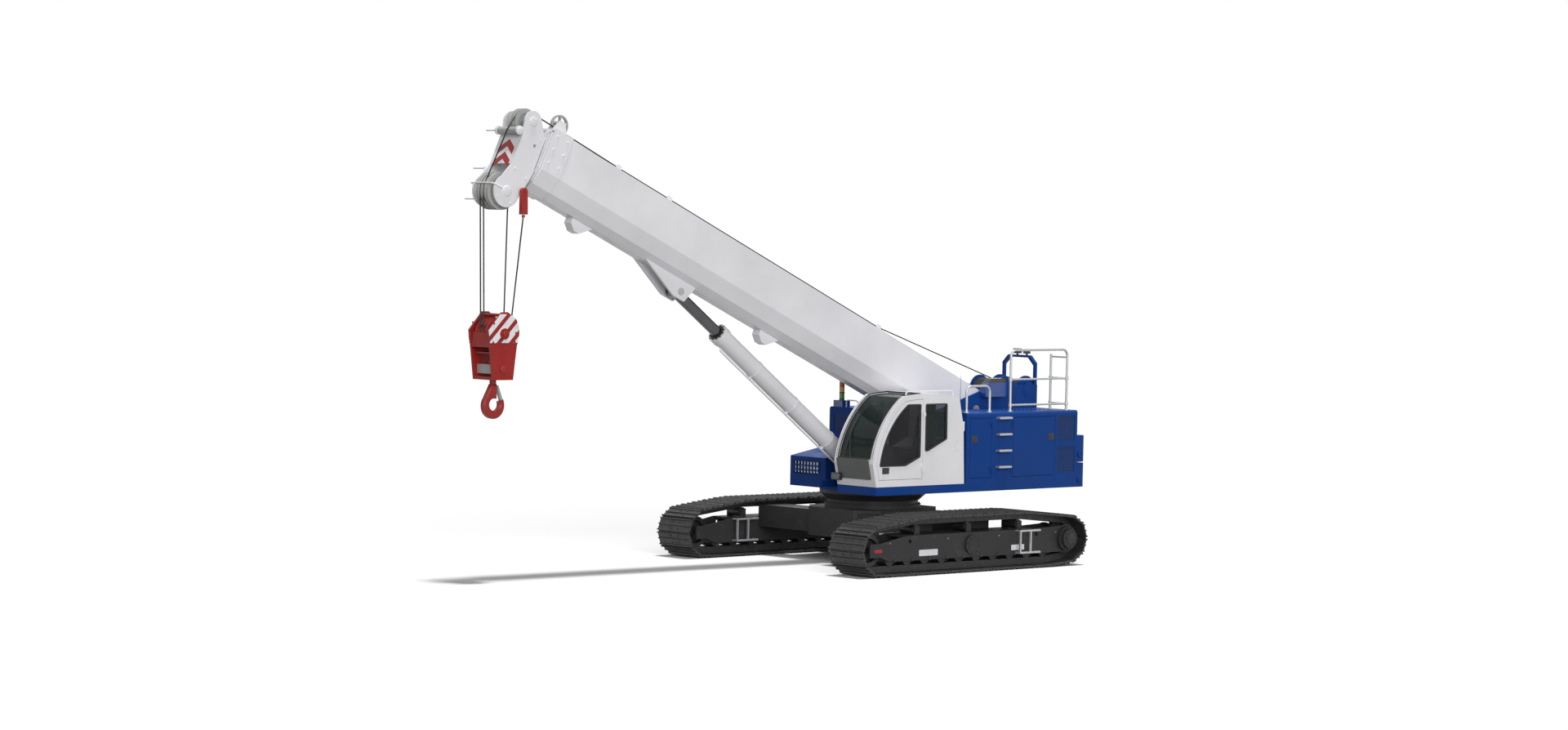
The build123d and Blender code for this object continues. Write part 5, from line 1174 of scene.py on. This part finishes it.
class CRANE_OT_upper(bpy.types.Operator):
    """Winch bolts, counterweight fittings, railing feet, ladder grips and arch lamps"""

    bl_idname = "crane.upper"
    bl_label = "Upper fittings"

    def execute(self, context):
        heads = []
        cover = [(0.135, 0), (0.135, 0.006), (0.06, 0.012), (0, 0.012)]
        for _, way in HANDS:
            out = way * ACROSS
            for x in WINCH_X:
                hub = at(x, way * 0.390, WINCH_Z)
                heads.append(studs(0.013, 0.014, polar(hub, 0.10, 8), out))
                heads.append(knob(cover, 32, hub, out))
            lifts = at(-3.564, way * (DECK_HALF + 0.024), [1.32, 1.78])
            heads.append(studs(0.016, 0.010, lifts, out))
        lug = plate(mirrored([(0.07, 0), (0.05, 0.08), (0.02, 0.11)]), 0.03, 0.004)
        eyes = mounted(lug, at(-3.60, [-0.9, 0.9], 2.076), ACROSS, FORWARD)
        make("upper_bolts", together(*heads, eyes), "upper", "blue")
        foot = [(0.045, 0), (0.045, 0.008), (0.026, 0.016), (0.022, 0.05), (0.021, 0.05)]
        clamp = [(0.021, -0.03), (0.030, -0.03), (0.030, 0.03), (0.021, 0.03), (0.021, -0.03)]
        posts, rails = np.array(RAIL_POSTS + GATE_POSTS).T, np.array(RAIL_POSTS).T
        clamps = [knob(clamp, 16, at(*rails, z), UP) for z in (2.62, 3.05)]
        feet = knob(foot, 20, at(*posts, HOUSING_TOP), UP)
        make("rail_feet", together(feet, *clamps), "upper", "zinc")
        bars = np.linspace(-1.80, -1.58, 9)
        grips = [repeat(brick((0.012, 0.060, 0.004), 0.001), at(bars, DECK_HALF + 0.045, z + 0.031))
                 for z in 1.58 + 0.273 * np.arange(4)]
        make("ladder_grips", together(*grips), "upper", "zinc")
        self.lamps()
        return {"FINISHED"}

    def lamps(self):
        glass = knob([(0.030, 0), (0.030, 0.006), (0.018, 0.011), (0, 0.012)], 24,
                     at(ARCH_FACE, -0.06, 3.468), FORWARD, ACROSS)
        pane = card((0.056, 0.028), 0.006, 0.006, 0.002, at(ARCH_FACE, 0.165, 3.445), ACROSS, FORWARD)
        make("arch_lamp_glass", together(glass, pane), "upper", "lens")
        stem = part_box("beacon")[1]
        rings = knob([(0.046, -0.006), (0.049, 0), (0.046, 0.006)], 28,
                     at(-0.33, -1.149, stem[2] - np.array([0.335, 0.215, 0.105, 0.01])), UP)
        make("beacon_rings", rings, "upper", "plastic")


class CRANE_OT_boom(bpy.types.Operator):
    """Collar bolts, sheave keepers, head rods and chevrons on the boom"""

    bl_idname = "crane.boom"
    bl_label = "Boom fittings"

    def execute(self, context):
        base, head = [], []
        collar = [v.ravel() for v in np.meshgrid([9.95, 10.17], [0.27, 0.05, -0.17], indexing="ij")]
        cheek = np.array([(10.40, -0.55), (10.66, -0.50), (10.40, 0.10), (10.52, -1.02),
                          (10.80, -1.02)]).T
        for _, way in HANDS:
            out = way * ACROSS
            base.append(studs(0.016, 0.014, boom_at(collar[0], way * COLLAR_HALF, collar[1]), out))
            for place, radius in ((LOW_AT, 0.085), (TOP_AT, 0.075), (GUIDE_AT, 0.055)):
                hub = boom_at(place[0], way * HEAD_HALF, place[1])
                keeper = [(radius, 0), (radius, 0.010), (radius * 0.8, 0.016), (0, 0.016)]
                head.append(knob(keeper, 28, hub, out, BOOM_ALONG))
                bolts = polar(hub + 0.012 * out, radius * 0.72, 6, BOOM_ALONG, BOOM_UP)
                head.append(studs(0.008, 0.012, bolts, out))
            head.append(studs(0.013, 0.012, boom_at(cheek[0], way * HEAD_HALF, cheek[1]), out))
        top = boom_at([0.6, 2.9, 4.6, 6.2], 0, BOOM_TOP)
        rows = np.concatenate([top + y * ACROSS for y in (-0.25, 0.25)])
        base.append(studs(0.012, 0.010, rows, BOOM_UP))
        make("boom_bolts", together(*base), "boom", "white")
        make("head_bolts", together(*head), "boom_tip", "white")
        self.rods()
        self.chevrons()
        return {"FINISHED"}

    def rods(self):
        """Pins that stand out of the head's right cheek, and the bar that keeps the ropes on the low
        sheaves: a rod bent back along both cheeks."""
        cheek = HEAD_HALF + 0.012
        bar = bent(boom_at([10.76, 10.962, 10.962, 10.76], [cheek, cheek, -cheek, -cheek],
                           LOW_AT[1]), 0.05)
        shells = [tube(bar, 0.011, 10, ref=BOOM_UP)]
        collar = [(0.013, 0), (0.026, 0), (0.026, 0.018), (0.013, 0.018)]
        for along, up in (GUIDE_AT, (10.80, -0.565), (10.75, -1.06)):
            shells.append(tube(boom_at(along, np.array([-0.56, -HEAD_HALF]), up), 0.013, 12, ref=UP))
            shells.append(knob(collar, 16, boom_at(along, -HEAD_HALF, up), -ACROSS, BOOM_ALONG))
        make("head_rods", together(*shells), "boom_tip", "white")

    def chevrons(self):
        """Two painted arrows on the head's front plate, each as two slanting halves."""
        half = np.array([(0.0, 0.085), (0.185, -0.055), (0.185, -0.175), (0.0, -0.035)])
        places = boom_at(HEAD_FACE, 0.0, [-0.13, -0.345])
        shells = [mounted(plate(half * [way, 1], 0.003, 0.0008), places, ACROSS, BOOM_ALONG)
                  for _, way in HANDS]
        make("head_chevrons", together(*shells), "boom_tip", "red")


class CRANE_OT_hook_block(bpy.types.Operator):
    """Axle caps and bolts of the hook block"""

    bl_idname = "crane.hook_block"
    bl_label = "Hook block fittings"

    def execute(self, context):
        x = SHEAVE[0]
        cheek = np.array([(-0.20, 4.02), (-0.23, 3.86), (0.20, 4.01), (0.23, 3.80), (-0.21, 3.72),
                          (0.21, 3.72)]).T
        lower = np.array([(-0.16, 3.20), (0.16, 3.20), (-0.18, 3.55), (0.18, 3.55)]).T
        shells, pins = [], []
        for _, way in HANDS:
            out = way * ACROSS
            axle = np.array([x, way * 0.284, AXLE_Z])
            pins.append(knob([(0.045, 0), (0.045, 0.010), (0.036, 0.016), (0, 0.016)], 6, axle, out))
            shells.append(studs(0.009, 0.010, polar(axle, 0.065, 6), out))
            for (dx, z), y in ((cheek, BLOCK_FACE), (lower, BLOCK_CHEEK)):
                places = np.column_stack([x + dx, np.full(len(z), way * y), z])
                shells.append(studs(0.012, 0.012, places, out))
            pivot = np.array([x, way * BLOCK_CHEEK, 3.305])
            pins.append(knob([(0.055, 0), (0.055, 0.012), (0.046, 0.020), (0, 0.020)], 28, pivot, out))
        make("block_bolts", together(*shells), "hook_block", "red")
        make("block_pins", together(*pins), "hook_block", "red")
        latch_pin = tube(np.array([[x - 0.072, y, 3.03] for y in (-0.045, 0.045)]), 0.012, 12, ref=UP)
        make("latch_pin", latch_pin, "hook", "steel")
        return {"FINISHED"}


class CRANE_OT_cylinder(bpy.types.Operator):
    """Pipe, clamps and gland of the luffing cylinder"""

    bl_idname = "crane.cylinder"
    bl_label = "Cylinder fittings"

    def execute(self, context):
        run = unit(boom_at(ROD_EYE_AT[0], 0.0, ROD_EYE_AT[1]) - LOWER_PIN)
        over = np.cross(ACROSS, run)
        over = over if over[2] < 0 else -over
        start, end = (LOWER_PIN + run * s + over * TUBE_SKIN for s in (0.42, 3.90))
        pipe = bent(np.array([start, start + over * 0.045, end + over * 0.045, end]), 0.05)
        make("cylinder_pipe", tube(pipe, 0.016, 12), "cylinder_tube", "white")
        places = LOWER_PIN + run * np.array([[1.1], [2.1], [3.1]])
        clamp = [(0.150, -0.018), (0.158, -0.018), (0.158, 0.018), (0.150, 0.018), (0.150, -0.018)]
        saddles = mounted(brick((0.045, 0.05, 0.05), 0.006), places + over * TUBE_SKIN, run, over)
        rings = knob(clamp, 40, places, run, ACROSS)
        make("cylinder_clamps", together(rings, saddles), "cylinder_tube", "white")
        gland = LOWER_PIN + run * 4.12
        lip = [(0.094, 0), (0.128, 0), (0.128, 0.012), (0.108, 0.020), (0.094, 0.020), (0.094, 0)]
        bolts = studs(0.010, 0.012, polar(gland, 0.139, 12, ACROSS, over), run)
        ring = knob(lip, 40, gland, run, ACROSS)
        make("cylinder_gland", together(ring, bolts), "cylinder_tube", "black")
        return {"FINISHED"}


class CRANE_PT_sidebar(bpy.types.Panel):
    """Lists the crane's steps and its settings"""

    bl_idname = "CRANE_PT_sidebar"
    bl_label = "Crawler crane"
    bl_space_type = "VIEW_3D"
    bl_region_type = "UI"
    bl_category = "Crane"

    def draw(self, context):
        layout = self.layout
        for step in STEPS:
            layout.operator(step.bl_idname)
        scene = context.scene
        for group in (scene.crane_colours, scene.crane_sizes, scene.crane_stage):
            box = layout.box()
            for key in group.__annotations__:
                box.prop(group, key)


STEPS = (CRANE_OT_stage, CRANE_OT_finishes, CRANE_OT_ropes, CRANE_OT_tracks, CRANE_OT_undercarriage,
         CRANE_OT_cab, CRANE_OT_seat, CRANE_OT_housings, CRANE_OT_upper, CRANE_OT_boom,
         CRANE_OT_hook_block, CRANE_OT_cylinder)
CLASSES = (CraneColours, CraneSizes, CraneStage) + STEPS + (CRANE_PT_sidebar,)


def register():
    for kind in CLASSES:
        bpy.utils.register_class(kind)
    bpy.types.Scene.crane_colours = bpy.props.PointerProperty(type=CraneColours)
    bpy.types.Scene.crane_sizes = bpy.props.PointerProperty(type=CraneSizes)
    bpy.types.Scene.crane_stage = bpy.props.PointerProperty(type=CraneStage)


def unregister():
    for group in ("crane_stage", "crane_sizes", "crane_colours"):
        delattr(bpy.types.Scene, group)
    for kind in reversed(CLASSES):
        bpy.utils.unregister_class(kind)


def main():
    register()
    bpy.ops.crane.stage()
    bpy.ops.crane.finishes()
    bpy.ops.crane.ropes()
    bpy.ops.crane.tracks()
    bpy.ops.crane.undercarriage()
    bpy.ops.crane.cab()
    bpy.ops.crane.seat()
    bpy.ops.crane.housings()
    bpy.ops.crane.upper()
    bpy.ops.crane.boom()
    bpy.ops.crane.hook_block()
    bpy.ops.crane.cylinder()


if __name__ == "__main__":
    main()
